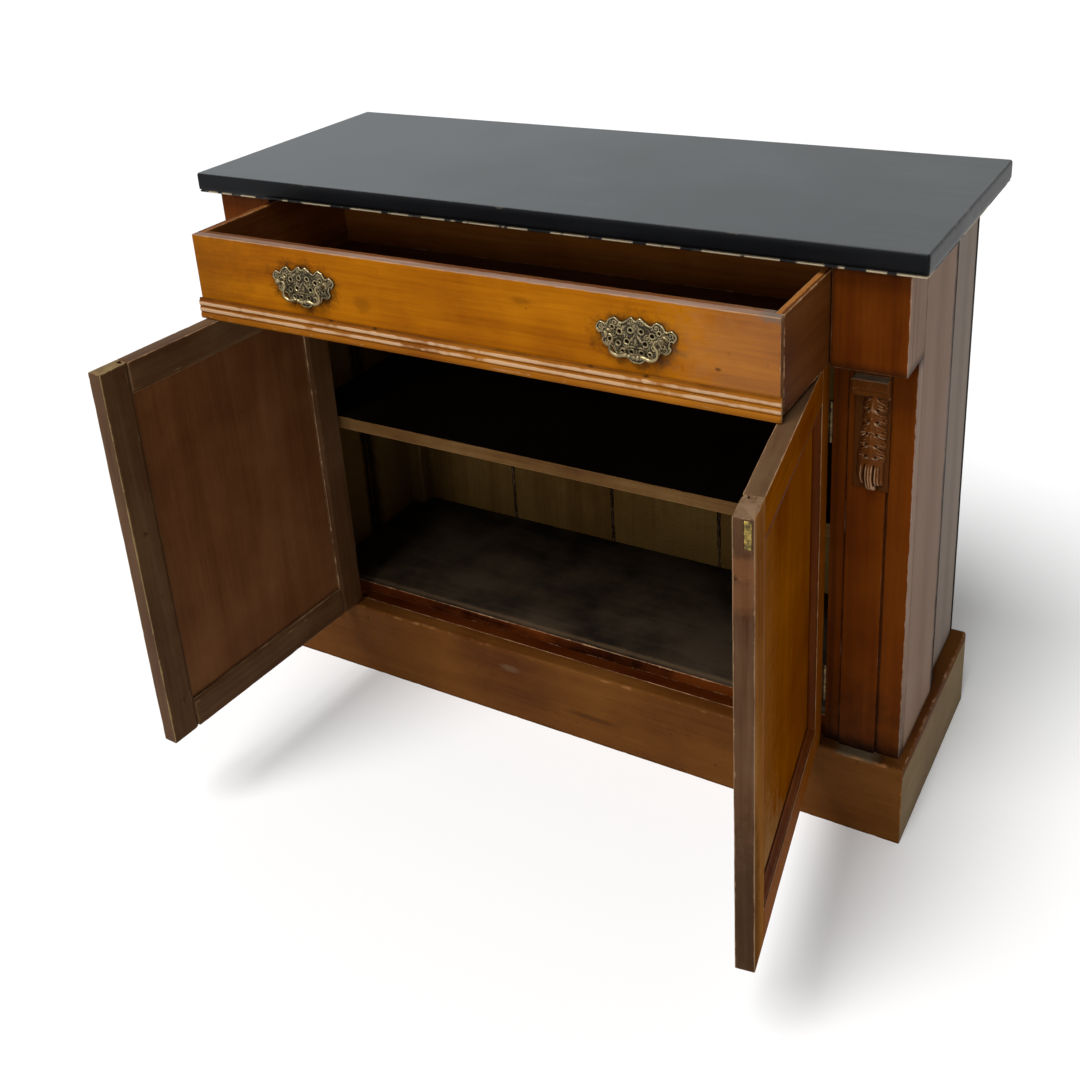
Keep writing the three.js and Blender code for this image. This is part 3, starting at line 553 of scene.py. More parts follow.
def old_wood(name, low, high, grain, tone, turn=0.0, depth=0.4, figure=1.0, mottle=1.0, marks=0.3, chew=1.0,
             halos=(), bands=(), covers=(), bare=0.7, dusting=0.06, gloss=0.5, shine=0.03, saw=0.0,
             edge_tone=pale_wood, dust_tone=dust, seed=0):
    """Old polished wood on a board of that box, with its grain along one axis.

    It has broad figure, fine lines and pores, mottled patina, a few dark marks, hollows darkened with dirt
    and painted shade, dust on what faces up, and bare rubbed arrises. Covers give a side of the box another
    tone to
    some depth: axis, side, depth, tone. Bands are strips at a distance from the origin, on both sides of it,
    dark by default, some of dirt and some painted shade, else of another stain: axis, distance, reach,
    strength, stain.
    Halos are soft stains on an upright face, some of them painted shade and painted reflection: x, z, half
    width, half height, strength, stain. Saw gives the fine ridges that a saw leaves across a board.
    """
    make = new_finish(name)
    place = make.place()
    if turn:
        place = make.stretched(place, rotation=(0, 0, -turn))
    shift = tuple(float(v) for v in np.random.default_rng(seed).uniform(-9, 9, 3))

    def along(stretch):
        scale = [1.0, 1.0, 1.0]
        scale[grain] = stretch
        return make.stretched(place, location=shift, scale=scale)

    broad = make.noise(along(0.09), 14, 3, 0.5, 1.2)
    lines = make.noise(along(0.035), 150, 3, 0.55, 0.3)
    pores = make.noise(along(0.03), 750, 2, 0.6)
    shifted = make.vector("ADD", place, shift)
    patina = make.noise(shifted, 5, 5, 0.6)
    spots = make.noise(shifted, 55, 4, 0.7)
    terms = (1.3 * figure, broad), (0.7 * figure, lines), (0.35 * figure, pores), (1.6 * mottle, patina)
    shade = make.mixed(*terms, start=0.5 - 0.5 * sum(share for share, _ in terms))
    colour = make.ramp(shade, *wood_tones(tones[tone], depth))
    signed = make.parts(place)
    ragged_edge, soft_edge = 5 * MM, 0.4 * MM
    for axis, side, deep, cover_tone in covers:
        outwards = 1 if low[axis] + high[axis] > 0 else -1
        facing = {"low": -1, "high": 1, "outer": outwards, "inner": -outwards}[side]
        start = float(high[axis] - deep) if facing > 0 else float(-low[axis] - deep)
        beyond = make.mixed((facing, signed[axis]), (ragged_edge, spots), start=-ragged_edge / 2)
        other = make.ramp(shade, *wood_tones(tones[cover_tone], depth))
        colour = make.blend(make.between(beyond, start - soft_edge, start + soft_edge), colour, other)
    distances = make.parts(make.vector("ABSOLUTE", place))
    # Bands: dark by default, some dirt and some painted shade under overhangs, at feet, in quirks and at the
    # step in the sides
    for axis, middle, reach, strength, *stain in bands:
        away = make.sum("ABSOLUTE", make.sum("SUBTRACT", distances[axis], middle))
        away = make.mixed((0.9 * reach, make.noise(place, 30, 4, 0.7)), start=away)
        inside = make.between(away, 1.25 * reach, 0.45 * reach, 0.0, strength)
        colour = make.blend(inside, colour, stain[0] if stain else grime_and_shade)
    dark_marks = make.between(spots, 0.64, 0.74, 0.0, marks)
    colour = make.blend(dark_marks, colour, grime_and_shade)

    # Halos: stains and wear, painted contact shade round the handles, and a painted reflection low on the
    # right door's panel
    for x, z, wide, tall, strength, stain in halos:
        away = make.vector("MULTIPLY", make.vector("SUBTRACT", place, (x, 0, z)), (1 / wide, 0, 1 / tall))
        near = make.put("ShaderNodeVectorMath", {0: away}, operation="LENGTH").outputs["Value"]
        near = make.mixed((1.0, near), (1.3, spots), start=-0.65)
        colour = make.blend(make.between(near, 1.2, 0.4, 0.0, strength), colour, stain)
    rubbed, hollow_dark = make.wear()
    edge = edge_distance(make, place, low, high)
    deepest_chew, untouched = 11 * MM * chew, 4.5 * MM * chew
    ragged = make.mixed((deepest_chew, make.noise(place, 45, 5, 0.75)), start=-untouched)
    chewed = make.between(make.sum("SUBTRACT", ragged, edge), -0.6 * MM, 1.2 * MM)
    rubbed_off = make.between(make.mixed((1.0, rubbed), (0.8, spots), start=-0.4), 0.25, 0.85)
    worn = make.sum("MULTIPLY", make.sum("MAXIMUM", chewed, rubbed_off), bare)
    colour = make.blend(worn, colour, edge_tone)
    # Hollows darkened: dirt, and on carving and mouldings painted shade as well
    colour = make.blend(make.sum("MULTIPLY", hollow_dark, 0.85), colour, grime_and_shade)

    cloudy = make.between(patina, 0.3, 0.65, 0.4, 1.0)
    settled = make.sum("MULTIPLY", make.between(make.upward(), 0.5, 0.95), cloudy)
    settled = make.sum("MULTIPLY", settled, dusting)
    colour = make.blend(settled, colour, dust_tone)

    rough = make.between(patina, 0.3, 0.7, gloss - 0.08, gloss + 0.15)
    rough = make.mixed((0.3, worn), (0.35, settled), (0.3, hollow_dark), start=rough)
    relief = make.mixed((0.5, lines), (-0.35, pores), (-1.0, dark_marks), (-0.5, worn))
    if saw:
        waves = {"Vector": along(1.0), "Scale": 75.0, "Distortion": 2.5, "Detail": 2.0, "Detail Scale": 0.6}
        ridges = make.put("ShaderNodeTexWave", waves, bands_direction="XYZ"[grain])
        relief = make.mixed((saw, ridges.outputs["Fac"]), start=relief)
    normal = make.bump(relief, 0.6 * MM, 0.5)
    return make.done(Base_Color=colour, Roughness=rough, Normal=normal, Specular_IOR_Level=shine)


def black_polish():
    """Ebonised slab: cloudy patches, fine scratches along its length, chipped edges, and on top a dull grey
    film, dust with a painted sheen.

    A broken line of pale old paint runs along the foot of its sides. The film is paler towards the left, as a
    painted reflection.
    """
    make = new_finish("black_top")
    place = make.place()
    streaks = make.noise(make.stretched(place, scale=(0.06, 1, 1)), 70, 4, 0.6, 0.3)
    clouds = make.noise(place, 3.2, 5, 0.55)
    spots = make.noise(place, 130, 3, 0.7)
    blacks = rgb(7, 8, 10), rgb(12, 13, 15), rgb(24, 25, 27)
    colour = make.ramp(make.mixed((1.6, clouds), (0.6, streaks), start=-0.6), *blacks)
    rubbed, _ = make.wear()
    chips = make.mixed((1.0, rubbed), (1.5, make.noise(place, 90, 4, 0.8)), start=-0.75)
    chips = make.sum("MULTIPLY", make.between(chips, 0.45, 0.8), 0.25)
    colour = make.blend(chips, colour, rgb(120, 112, 100))
    across, _, up = make.parts(place)
    low_edge = make.between(up, underside + 4.2 * MM, underside + 3.4 * MM)
    dashes = make.noise(make.stretched(place, scale=(1, 0.3, 0.1)), 36, 2, 0.5)
    dashes = make.sum("MULTIPLY", make.between(dashes, 0.5, 0.53), low_edge)
    colour = make.blend(make.sum("MULTIPLY", dashes, 0.9), colour, rgb(184, 168, 138))
    # Grey film on the top: dust with a painted sheen, paler towards the left as a painted reflection
    film_and_sheen = make.mixed((0.9, clouds), (0.25, streaks), (-0.46, across), start=-0.22)
    film_and_sheen = make.between(film_and_sheen, 0.1, 0.6, 0.5, 0.85)
    settled = make.sum("MULTIPLY", make.between(make.upward(), 0.6, 0.97), film_and_sheen)
    colour = make.blend(settled, colour, rgb(106, 110, 112))
    rough = make.mixed((0.25, clouds), (0.12, streaks), (0.2, settled), start=0.22)
    normal = make.bump(make.mixed((0.5, streaks), (0.2, spots)), 0.5 * MM, 0.35)
    return make.done(Base_Color=colour, Roughness=rough, Normal=normal, Specular_IOR_Level=0.09)


def old_brass(name, bright, dull):
    """Tarnished brass: brown-green in the hollows, rubbed bright on what stands out."""
    make = new_finish(name)
    place = make.place()
    clouds = make.noise(place, 90, 5, 0.65)
    fine = make.noise(place, 600, 3, 0.6)
    rubbed, hollow_dark = make.wear()
    tarnish = make.mixed((1.0, make.between(clouds, 0.35, 0.65)), (-0.8, rubbed), (0.8, hollow_dark))
    colour = make.blend(make.between(tarnish, 0.0, 1.0), bright, dull)
    colour = make.blend(make.between(fine, 0.5, 0.72, 0, 0.45), colour, rgb(34, 28, 20))
    colour = make.blend(make.sum("MULTIPLY", hollow_dark, 0.9), colour, rgb(22, 18, 12))
    rough = make.mixed((0.35, tarnish), start=0.32)
    normal = make.bump(make.mixed((0.6, fine), (1.0, clouds)), 0.4 * MM, 0.4)
    return make.done(Base_Color=colour, Metallic=0.8, Roughness=rough, Normal=normal)


def free_side_of(node):
    """Where a board of the right door ends on the side away from the hinge, on axes turned with the door."""
    return float(turned_box(node, door_turn["door_right"])[0][X])


def pale_and_sheen_patches(node):
    """Pale patches on the right door's panel, along its free side and at its foot: faded polish, and a
    painted reflection of the pale floor.
    """
    side, faded_sheen = free_side_of(node), rgb(164, 128, 84)
    return [
        (side, 0.45, 0.12, 0.5, 0.3, rgb(146, 100, 50)),
        (side, 0.18, 0.14, 0.16, 0.36, faded_sheen),
        (side + 0.08, 0.2, 0.1, 0.05, 0.3, faded_sheen),
    ]


# Levels and places, from the boards that meet there, where dirt and painted shade are laid
plinth_top, underside = float(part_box("plinth_front")[1][Z]), float(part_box("top_board")[0][Z])
block_foot = float(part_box("frieze_block_right")[0][Z])
free_side = free_side_of("door_right_lock_stile")
handle_places = [middle_of("handle_plate_" + hand) for hand in ("left", "right")]

scuffed, rubbed_red = rgb(126, 112, 88), rgb(142, 92, 56)
dry = dict(gloss=0.7, shine=0.03)
side_wear = dict(figure=0.4, depth=0.22, marks=0.2, chew=0.5, edge_tone=rgb(34, 22, 14), dusting=0)
inner_face = (X, "inner", 4 * MM, "bare")
stile_back = (Y, "high", 24 * MM, "door_stile")
panel_back = (Y, "high", 3 * MM, "door_inside")

# How each board is finished: its wood, its grain's axis, and what differs from plain old polish
woods = {
    "plinth_front": ("plinth", X, dict(
        figure=0.7, marks=0.5, chew=0.7, dusting=0, edge_tone=rgb(150, 104, 62), bands=[(Z, 0, 0.007, 0.6)],
        halos=[
            # Painted shade on the plinth's top at each pilaster's foot; then pale scuffs on the ledge
            *((side * 0.512, 0.138, 0.055, 0.005, 0.75, grime_and_shade) for side in (1, -1)),
            *((side * 0.502, plinth_top, 0.034, 0.006, 0.42, scuffed) for side in (1, -1)),
            (-0.1, 0.1, 0.02, 0.008, 0.18, scuffed),
            (0.06, 0.05, 0.05, 0.006, 0.35, grime_and_shade),
        ])),
    "plinth_side_": ("beige", Y, dict(
        figure=0.5, depth=0.3, mottle=1.4, marks=0.4, dusting=0, gloss=0.6,
        covers=[(Z, "high", 14 * MM, "plinth")], bands=[(Z, 0, 0.008, 0.6)])),
    "bottom_rail": ("rail", X, dict(chew=0.3, dusting=0)),
    # Side boards: the dark bands where the rear board steps in behind the front one are dirt and painted
    # shade in the step; the faint wide bands are smudges; each is darker just above the plinth
    "side_front_board_": ("side", Z, dict(side_wear, covers=[inner_face], bands=[
        (Y, 0.186, 0.02, 1.0), (Y, 0.11, 0.05, 0.15), (Z, plinth_top, 0.012, 0.5)])),
    "side_rear_board_": ("side_rear", Z, dict(side_wear, covers=[inner_face], bands=[
        (Y, 0.2, 0.034, 0.95), (Y, 0.29, 0.04, 0.15), (Z, plinth_top, 0.012, 0.6)])),
    "back_board_": ("bare", Z, dict(
        figure=0.8, depth=0.35, chew=0.4, saw=0.8,
        covers=[(X, "low", 2.5 * MM, "shelf"), (X, "high", 2.5 * MM, "shelf")], **dry)),
    "rear_post_": ("bare", Z, dict(chew=0.5, saw=0.5, **dry)),
    # Pilasters: painted shade with dirt in the quirks, a painted shadow of the open door along the inner
    # edge, a painted shadow under the frieze block, painted shade at the foot over the plinth, and darker
    # towards the foot
    "pilaster_": ("brown", Z, dict(chew=0.4, covers=[(X, "outer", 1.1 * MM, "side")], bands=[
        (X, 0.456, 0.008, 0.35), (X, 0.526, 0.0035, 0.8), (X, 0.47, 0.0035, 0.7),
        (Z, plinth_top, 0.036, 0.85), (Z, 0.12, 0.24, 0.5), (Z, block_foot, 0.03, 0.7)])),
    # Frieze blocks: a painted shadow under the slab along the top; darker at the foot, along the inner edge,
    # and in a thin line on the side
    "frieze_block_": ("brown", Z, dict(chew=0.5, covers=[(X, "outer", 1.2 * MM, "side")], bands=[
        (Z, underside, 0.02, 0.75), (Z, block_foot, 0.018, 0.65), (X, 0.46, 0.008, 0.4),
        (Y, 0.029, 0.002, 0.8)])),
    # Corbels: a painted shadow under the frieze block; the leaf's rubbed crests are pale silver, wear and a
    # painted sheen
    "corbel_": ("corbel", Z, dict(
        figure=0.5, chew=0, dusting=1.0, dust_tone=rgb(178, 160, 130), bare=0.75, gloss=0.4,
        edge_tone=rgb(176, 144, 112), bands=[(Z, block_foot, 0.018, 0.7)])),
    "floor_board": ("floor", X, dict(
        depth=0.8, mottle=3.0, marks=0.9, chew=0.8, dusting=0.06, covers=[(Y, "low", 1.5 * MM, "rail")],
        bands=[(Y, 0.045, 0.011, 0.5, rgb(104, 82, 58))], **dry)),
    "shelf_bearer_": ("bare", Y, dict(chew=0.5, **dry)),
    # The shelf's near-black top is painted shade; its front edge has a paler tone
    "shelf": ("shelf", X, dict(
        depth=0.5, mottle=1.4, chew=0.5, dusting=0.01, edge_tone=rgb(150, 112, 72),
        covers=[(Y, "low", 1.5 * MM, "shelf_front")], **dry)),
    "drawer_rail": ("bare", X, dict(chew=0.5, **dry)),
    "drawer_runner_": ("bare", Y, dict(chew=0.6, **dry)),
    "drawer_front": ("amber", X, dict(
        marks=0.6, chew=0.6, dusting=0,
        covers=[(Z, "high", 1 * MM, "rubbed_edge"), (Y, "high", 9 * MM, "drawer_inside")],
        halos=[
            # Round each handle: dirt under and round the plate, with painted contact shade
            *((x, z, 0.064, 0.038, 1.0, grime_and_shade) for x, z in handle_places),
            (-0.5, 0.83, 0.16, 0.16, 0.25, grime_and_shade),
            (0.46, 0.84, 0.15, 0.12, 0.16, rgb(160, 130, 104)),
            (0.454, 0.898, 0.026, 0.008, 0.6, rgb(96, 92, 84)),
            (-0.15, 0.83, 0.02, 0.014, 0.28, grime_and_shade),
            (0.11, 0.872, 0.018, 0.006, 0.3, grime_and_shade),
            (0.38, 0.822, 0.005, 0.003, 0.6, grime_and_shade),
        ])),
    # The pale edge tone on the reeds' crests is rubbed wear and a painted highlight
    "drawer_reeded_moulding": ("reeds", X, dict(chew=0.0, bare=0.7, dusting=0, edge_tone=rgb(206, 172, 136))),
    "drawer_side_": ("drawer_side", Y, dict(
        chew=0.9, dusting=0, covers=[(X, "inner", 7 * MM, "drawer_lining")])),
    "drawer_back": ("drawer_back", X, dict(chew=0.8, **dry)),
    "drawer_bottom": ("drawer_inside", X, dict(chew=0, dusting=0.05, marks=0.6, **dry)),
    "door_left_panel": ("amber_door", Z, dict(figure=0.7, chew=0, covers=[panel_back])),
    "door_left_moulding": ("brown", Z, dict(chew=0)),
    "door_left_top_rail": ("amber_door", X, dict(chew=0.4, covers=[stile_back])),
    "door_left_bottom_rail": ("amber_door", X, dict(chew=0.4, marks=0.5, covers=[stile_back])),
    "door_left_hinge_stile": ("amber_door", Z, dict(chew=0.4, covers=[(Y, "high", 24 * MM, "hinge_stile")])),
    "door_left_lock_stile": ("amber_door", Z, dict(
        chew=0.9, marks=0.6, edge_tone=rgb(150, 128, 86),
        covers=[stile_back, (X, "high", 1.2 * MM, "free_edge")])),
    "door_right_panel": ("amber_door", Z, dict(
        figure=0.7, chew=0, covers=[panel_back], shine=0, halos=pale_and_sheen_patches("door_right_panel"))),
    "door_right_moulding": ("brown", Z, dict(chew=0)),
    "door_right_top_rail": ("amber_door", X, dict(chew=0.4, covers=[stile_back], shine=0)),
    "door_right_bottom_rail": ("amber_door", X, dict(chew=0.6, marks=0.5, covers=[stile_back])),
    "door_right_hinge_stile": ("amber_door", Z, dict(chew=0.4, covers=[stile_back])),
    "door_right_lock_stile": ("amber_rubbed_and_sheen", Z, dict(
        chew=0.9, marks=0.6, shine=0, edge_tone=rgb(146, 118, 90),
        covers=[stile_back, (X, "low", 1.2 * MM, "free_edge")],
        halos=[
            (free_side, 0.705, 0.016, 0.018, 0.3, rubbed_red),
            (free_side, 0.672, 0.012, 0.026, 0.24, rubbed_red),
            (free_side, 0.22, 0.03, 0.16, 0.45, grime_and_shade),
        ])),
}


def wood_of(node):
    """The finish of a board, laid on its own box."""
    key = next(k for k in woods if node == k or (k.endswith("_") and node.startswith(k)))
    tone, grain, extra = woods[key]
    turn = door_turn.get(body_of[node], 0.0)
    low, high = turned_box(node, turn)
    seed = sorted(body_of).index(node)
    return old_wood("wood_" + node, low, high, grain, tone, turn=turn, seed=seed, **extra)


handle_brass = old_brass("handle_brass", rgb(148, 132, 96), rgb(66, 57, 40))
hinge_brass = old_brass("hinge_brass", rgb(120, 100, 66), rgb(58, 48, 36))
bolt_brass = old_brass("bolt_brass", rgb(176, 150, 76), rgb(88, 72, 42))
finish_of = {}
for node, shown in frame["nodes"].items():
    if node == "top_board":
        finish_of[node] = black_polish()
    elif node.startswith("handle_"):
        finish_of[node] = handle_brass
    elif node == "door_right_bolt_plate":
        finish_of[node] = bolt_brass
    elif node.startswith("hinge_"):
        finish_of[node] = hinge_brass
    else:
        finish_of[node] = wood_of(node)
    shown.data.materials.clear()
    shown.data.materials.append(finish_of[node])


# Top board


def top_board():
    """The slab: a box lattice whose sides are drawn in by a table of insets over its height.

    The insets give the small bead under a quirk along its foot, and the rounded upper edge. Then the
    upright corners are rounded, the edges are nicked, and the upper face is made a little uneven.
    """
    low, high = (np.array(corner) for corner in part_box("top_board"))
    bead = [(0, 3.6), (0.015, 2.4), (0.04, 1.3), (0.07, 1.3), (0.1, 2.2), (0.115, 3.2), (0.125, 3.6)]
    side = [(0.14, 2.0), (0.16, 0.3), (0.3, 0), (0.5, 0), (0.7, 0), (0.86, 0)]
    upper_edge = [(0.92, 0.4), (0.96, 1.1), (0.985, 2.0), (1, 3.4)]
    levels, insets = np.array([*bead, *side, *upper_edge]).T
    places = [lattice_places(low[a], high[a], 12 * MM, 3 * MM) for a in (X, Y)]
    points, faces = board_skin([*places, low[Z] + levels * (high[Z] - low[Z])])
    centre, half = (low + high) / 2, (high - low) / 2
    share = (points[:, Z] - low[Z]) / (high[Z] - low[Z])
    near_edge = np.interp(share, [0, 0.1, 0.2, 0.85, 1], [1, 1, 0, 0, 1])
    nicks = np.clip(knots(points, 11 * MM, 5) - 0.72, 0, 1) * 4 * MM * near_edge
    inset = np.interp(share, levels, insets * MM) + nicks + 0.35 * MM * knots(points, 60 * MM, 6)
    for axis in (X, Y):
        points[:, axis] = centre[axis] + (points[:, axis] - centre[axis]) * (1 - inset / half[axis])
    points[:, :2] = rounded(points[:, :2], low[:2], high[:2], 4 * MM)
    points[:, Z] -= np.where(share > 0.99, 0.25 * MM * knots(points, 0.15, 8), 0)
    bare = np.interp(share, [0, 0.05, 0.1, 0.12, 0.8, 1], [0.9, 0.5, 0.1, 0, 0, 0.5]) + nicks / (0.4 * MM)
    on_side = np.abs(points - centre)[:, :2] > half[:2] - 5 * MM
    return skin(points, faces, wear=-np.clip(bare, 0, 1) * on_side.any(1))


new_piece("worn_top_board", top_board(), ["top_board"], finish_of["top_board"])


# Carcass, plinth and shelf

# Boards with plain worn edges: how far apart their points lie, and how wide their worn rim is
worn = {
    "floor_board": (8 * MM, 3.0 * MM),
    **{f"side_front_board_{hand}": (9 * MM, 1.8 * MM) for hand in hands},
    **{f"side_rear_board_{hand}": (9 * MM, 1.8 * MM) for hand in hands},
    **{f"frieze_block_{hand}": (5 * MM, 2.4 * MM) for hand in hands},
    "drawer_back": (8 * MM, 2.4 * MM),
    **{f"rear_post_{hand}": (12 * MM, 1.6 * MM) for hand in hands},
    **{f"shelf_bearer_{hand}": (8 * MM, 1.6 * MM) for hand in hands},
    "drawer_rail": (10 * MM, 1.6 * MM),
    **{f"back_board_{k}": (12 * MM, 1.6 * MM) for k in range(1, 6)},
}
for count, (node, (step, wear)) in enumerate(worn.items()):
    worn_board(node, step, wear, 40 + count)


def rectangle(low, high, axis):
    """The outline of a box across one axis."""
    b, c = (axis + 1) % 3, (axis + 2) % 3
    return [(low[b], low[c]), (high[b], low[c]), (high[b], high[c]), (low[b], high[c])]


def plain_run(node, axis, step, wear, seed, ends=None):
    """A board carried along an axis from its box."""
    low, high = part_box(node)
    ends = ends or (low[axis], high[axis])
    surface = worn_run(rectangle(low, high, axis), axis, ends, step, wear, seed)
    return new_piece("worn_" + node, surface, [node], finish_of[node])


def plinth_front_ends(section):
    """The front board's mitred ends: the deeper a point lies, the shorter its run."""
    low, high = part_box("plinth_front")
    depth = section[:, 0] - low[Y]
    return low[X] + depth, high[X] - depth


def plinth_board(node, axis, ends, seed):
    """A plinth board: a box section with a rounded upper outer edge."""
    low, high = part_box(node)
    round_edge = 4.5 * MM
    across = Y if axis == X else X
    outer, inner = (high[across], low[across]) if node.endswith("right") else (low[across], high[across])
    side = np.sign(outer - inner)
    angle = np.linspace(0, math.pi / 2, 7)
    centre, level = outer - side * round_edge, high[Z] - round_edge
    arc = [(centre + side * round_edge * math.sin(a), level + round_edge * math.cos(a)) for a in angle]
    corners = [(outer, low[Z]), (inner, low[Z]), (inner, high[Z]), *arc]
    if axis == Y:
        corners = [(z, x) for x, z in corners]
    surface = worn_run(corners, axis, ends, 6 * MM, 1.8 * MM, seed)
    return new_piece("worn_" + node, surface, [node], finish_of[node])


def plinth_side_ends(section):
    """A return's mitred front end, square behind the mitre, and its square rear end."""
    low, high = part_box("plinth_front")
    depth = np.minimum(high[X] - np.abs(section[:, 1]), high[Y] - low[Y]) + 0.4 * MM
    return low[Y] + depth, np.full(len(section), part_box("plinth_side_right")[1][Y])


plinth_board("plinth_front", X, plinth_front_ends, 71)
plinth_board("plinth_side_right", Y, plinth_side_ends, 72)
plinth_board("plinth_side_left", Y, plinth_side_ends, 73)
plain_run("bottom_rail", X, 6 * MM, 1.5 * MM, 74)


def shelf_ends(section):
    """The shelf's ends, cut back at its rear corners round the posts."""
    post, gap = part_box("rear_post_right")[0], 0.6 * MM
    half = np.where(section[:, 0] > post[Y] - 1 * MM, post[X] - gap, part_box("shelf")[1][X])
    return -half, half


plain_run("shelf", X, 8 * MM, 2.2 * MM, 75, shelf_ends)


# Pilasters


def pilaster_outline(side):
    """A pilaster's plan, as the CAD has it: a flat board with a raised strip between two narrow quirks."""
    low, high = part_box("pilaster_right")
    inner, outer, strip_front, back = low[X], high[X], low[Y], high[Y]
    strip_in, strip_width, strip_rise = 23 * MM, 53 * MM, 4 * MM
    quirk_width, quirk_depth = 1.6 * MM, 2 * MM
    first, second = inner + strip_in, inner + strip_in + strip_width
    face = strip_front + strip_rise
    bottom = face + quirk_depth
    plan = [
        (inner, back), (inner, face),
        (first - quirk_width, face), (first - quirk_width, bottom), (first, bottom),
        (first, strip_front), (second, strip_front),
        (second, bottom), (second + quirk_width, bottom), (second + quirk_width, face),
        (outer, face), (outer, back),
    ]
    return [(side * x, y) for x, y in plan]


for side, hand in ((1, "right"), (-1, "left")):
    node = "pilaster_" + hand
    low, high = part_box(node)
    pilaster = worn_run(pilaster_outline(side), Z, (low[Z], high[Z]), 6 * MM, 0.9 * MM, 80 + side)
    new_piece("worn_" + node, pilaster, [node], finish_of[node])


# Corbels

# The cap's section from its top to its foot: shares of its height and of the corbel's depth
cap_rows = [
    (1, 0.4), (0.6, 0.42), (0.56, 0.5), (0.54, 1), (0.3, 1),
    (0.27, 0.93), (0.2, 0.84), (0.1, 0.78), (0.03, 0.64), (0, 0.5),
]
# The leaf from top to tip: shares of how far its ridge stands out, and of its half width
leaf_rises = [0.7, 0.82, 0.86, 0.84, 0.76, 0.72, 0.74, 0.7, 0.58, 0.5, 0.5, 0.56, 0.6, 0.58, 0.5]
leaf_halves = [0.7, 0.78, 0.8, 0.82, 0.82, 0.84, 0.86, 0.88, 0.9, 0.92, 0.96, 0.98, 0.98, 0.92, 0.84]
# Where its tiers of lobes start and end, in shares of its length, and how long and how slanting a lobe is
tier_ends = (0, 0.37, 0.66, 1.2)
lobe_length, lobe_slant = 18 * MM, 15 * MM


def bump_at(value, place, reach):
    """A smooth hump, one at its place and fading within its reach."""
    return np.exp(-(((value - place) / reach) ** 2))


def rising(value, low, high):
    """From 0 to 1, eased, between two values."""
    share = np.clip((value - low) / (high - low), 0, 1)
    return share * share * (3 - 2 * share)


def carved_leaf(t, s, drop):
    """The leaf's height over its ground in shares of its ridge's height, and its carving in metres.

    T runs down the leaf from 0 to 1, and s across it from -1 to 1. Across, the leaf falls from a ridge in
    the middle to both edges. Down it, two tiers of lobes run out and down from the ridge, curl out at their
    tips and end over a deep undercut, with furrows between the lobes, drilled eyes where the furrows start
    and near the rim, and fine veins. Below them hangs a ribbed tongue, which two flutes part in three.
    """
    side = np.abs(s)
    along = t * drop + 0 * s
    slant = along - lobe_slant * side
    across = np.clip(1 - side**1.5, 0, 1) ** 0.8
    on_tiers = 1 - rising(t, 0.64, 0.68)
    ends = np.array(tier_ends) * drop
    tier = np.clip(np.searchsorted(ends, slant, side="right") - 1, 0, 2)
    part = np.clip((slant - ends[tier]) / (ends[tier + 1] - ends[tier]), 0, 1)
    curl = part**3 * (0.35 + 0.65 * side) * on_tiers
    lobe = slant / lobe_length
    furrow = np.abs(np.sin(lobe * math.pi)) ** 0.5 - 1
    furrow = furrow * rising(side, 0.12, 0.4) * (1 - 0.5 * rising(side, 0.8, 1))
    from_furrow = np.abs(lobe - np.round(lobe)) * lobe_length
    from_middle = np.abs(lobe - np.floor(lobe) - 0.5) * lobe_length
    eyes = bump_at(side, 0.36, 0.09) * bump_at(from_furrow, 0, 1.9 * MM)
    rim_eyes = bump_at(side, 0.74, 0.07) * bump_at(from_middle, 0, 1.5 * MM)
    veins = np.cos(2 * math.pi * slant / (4.4 * MM)) * rising(side, 0.15, 0.4)
    rib = bump_at(side, 0, 0.12)
    tiers = 4.2 * MM * curl + 2.6 * MM * furrow - 4 * MM * eyes - 2 * MM * rim_eyes
    tiers = tiers + 0.35 * MM * veins + 0.4 * MM * rib
    wander = 0.06 * np.sin(9 * t)
    flutes = bump_at(np.abs(s + wander), 0.34, 0.09)
    ribs = 0.5 * MM * np.cos(2 * math.pi * s / 0.2)
    tongue = (-3.4 * MM * flutes + ribs) * rising(t, 0.7, 0.76)
    return across, tiers * on_tiers + tongue


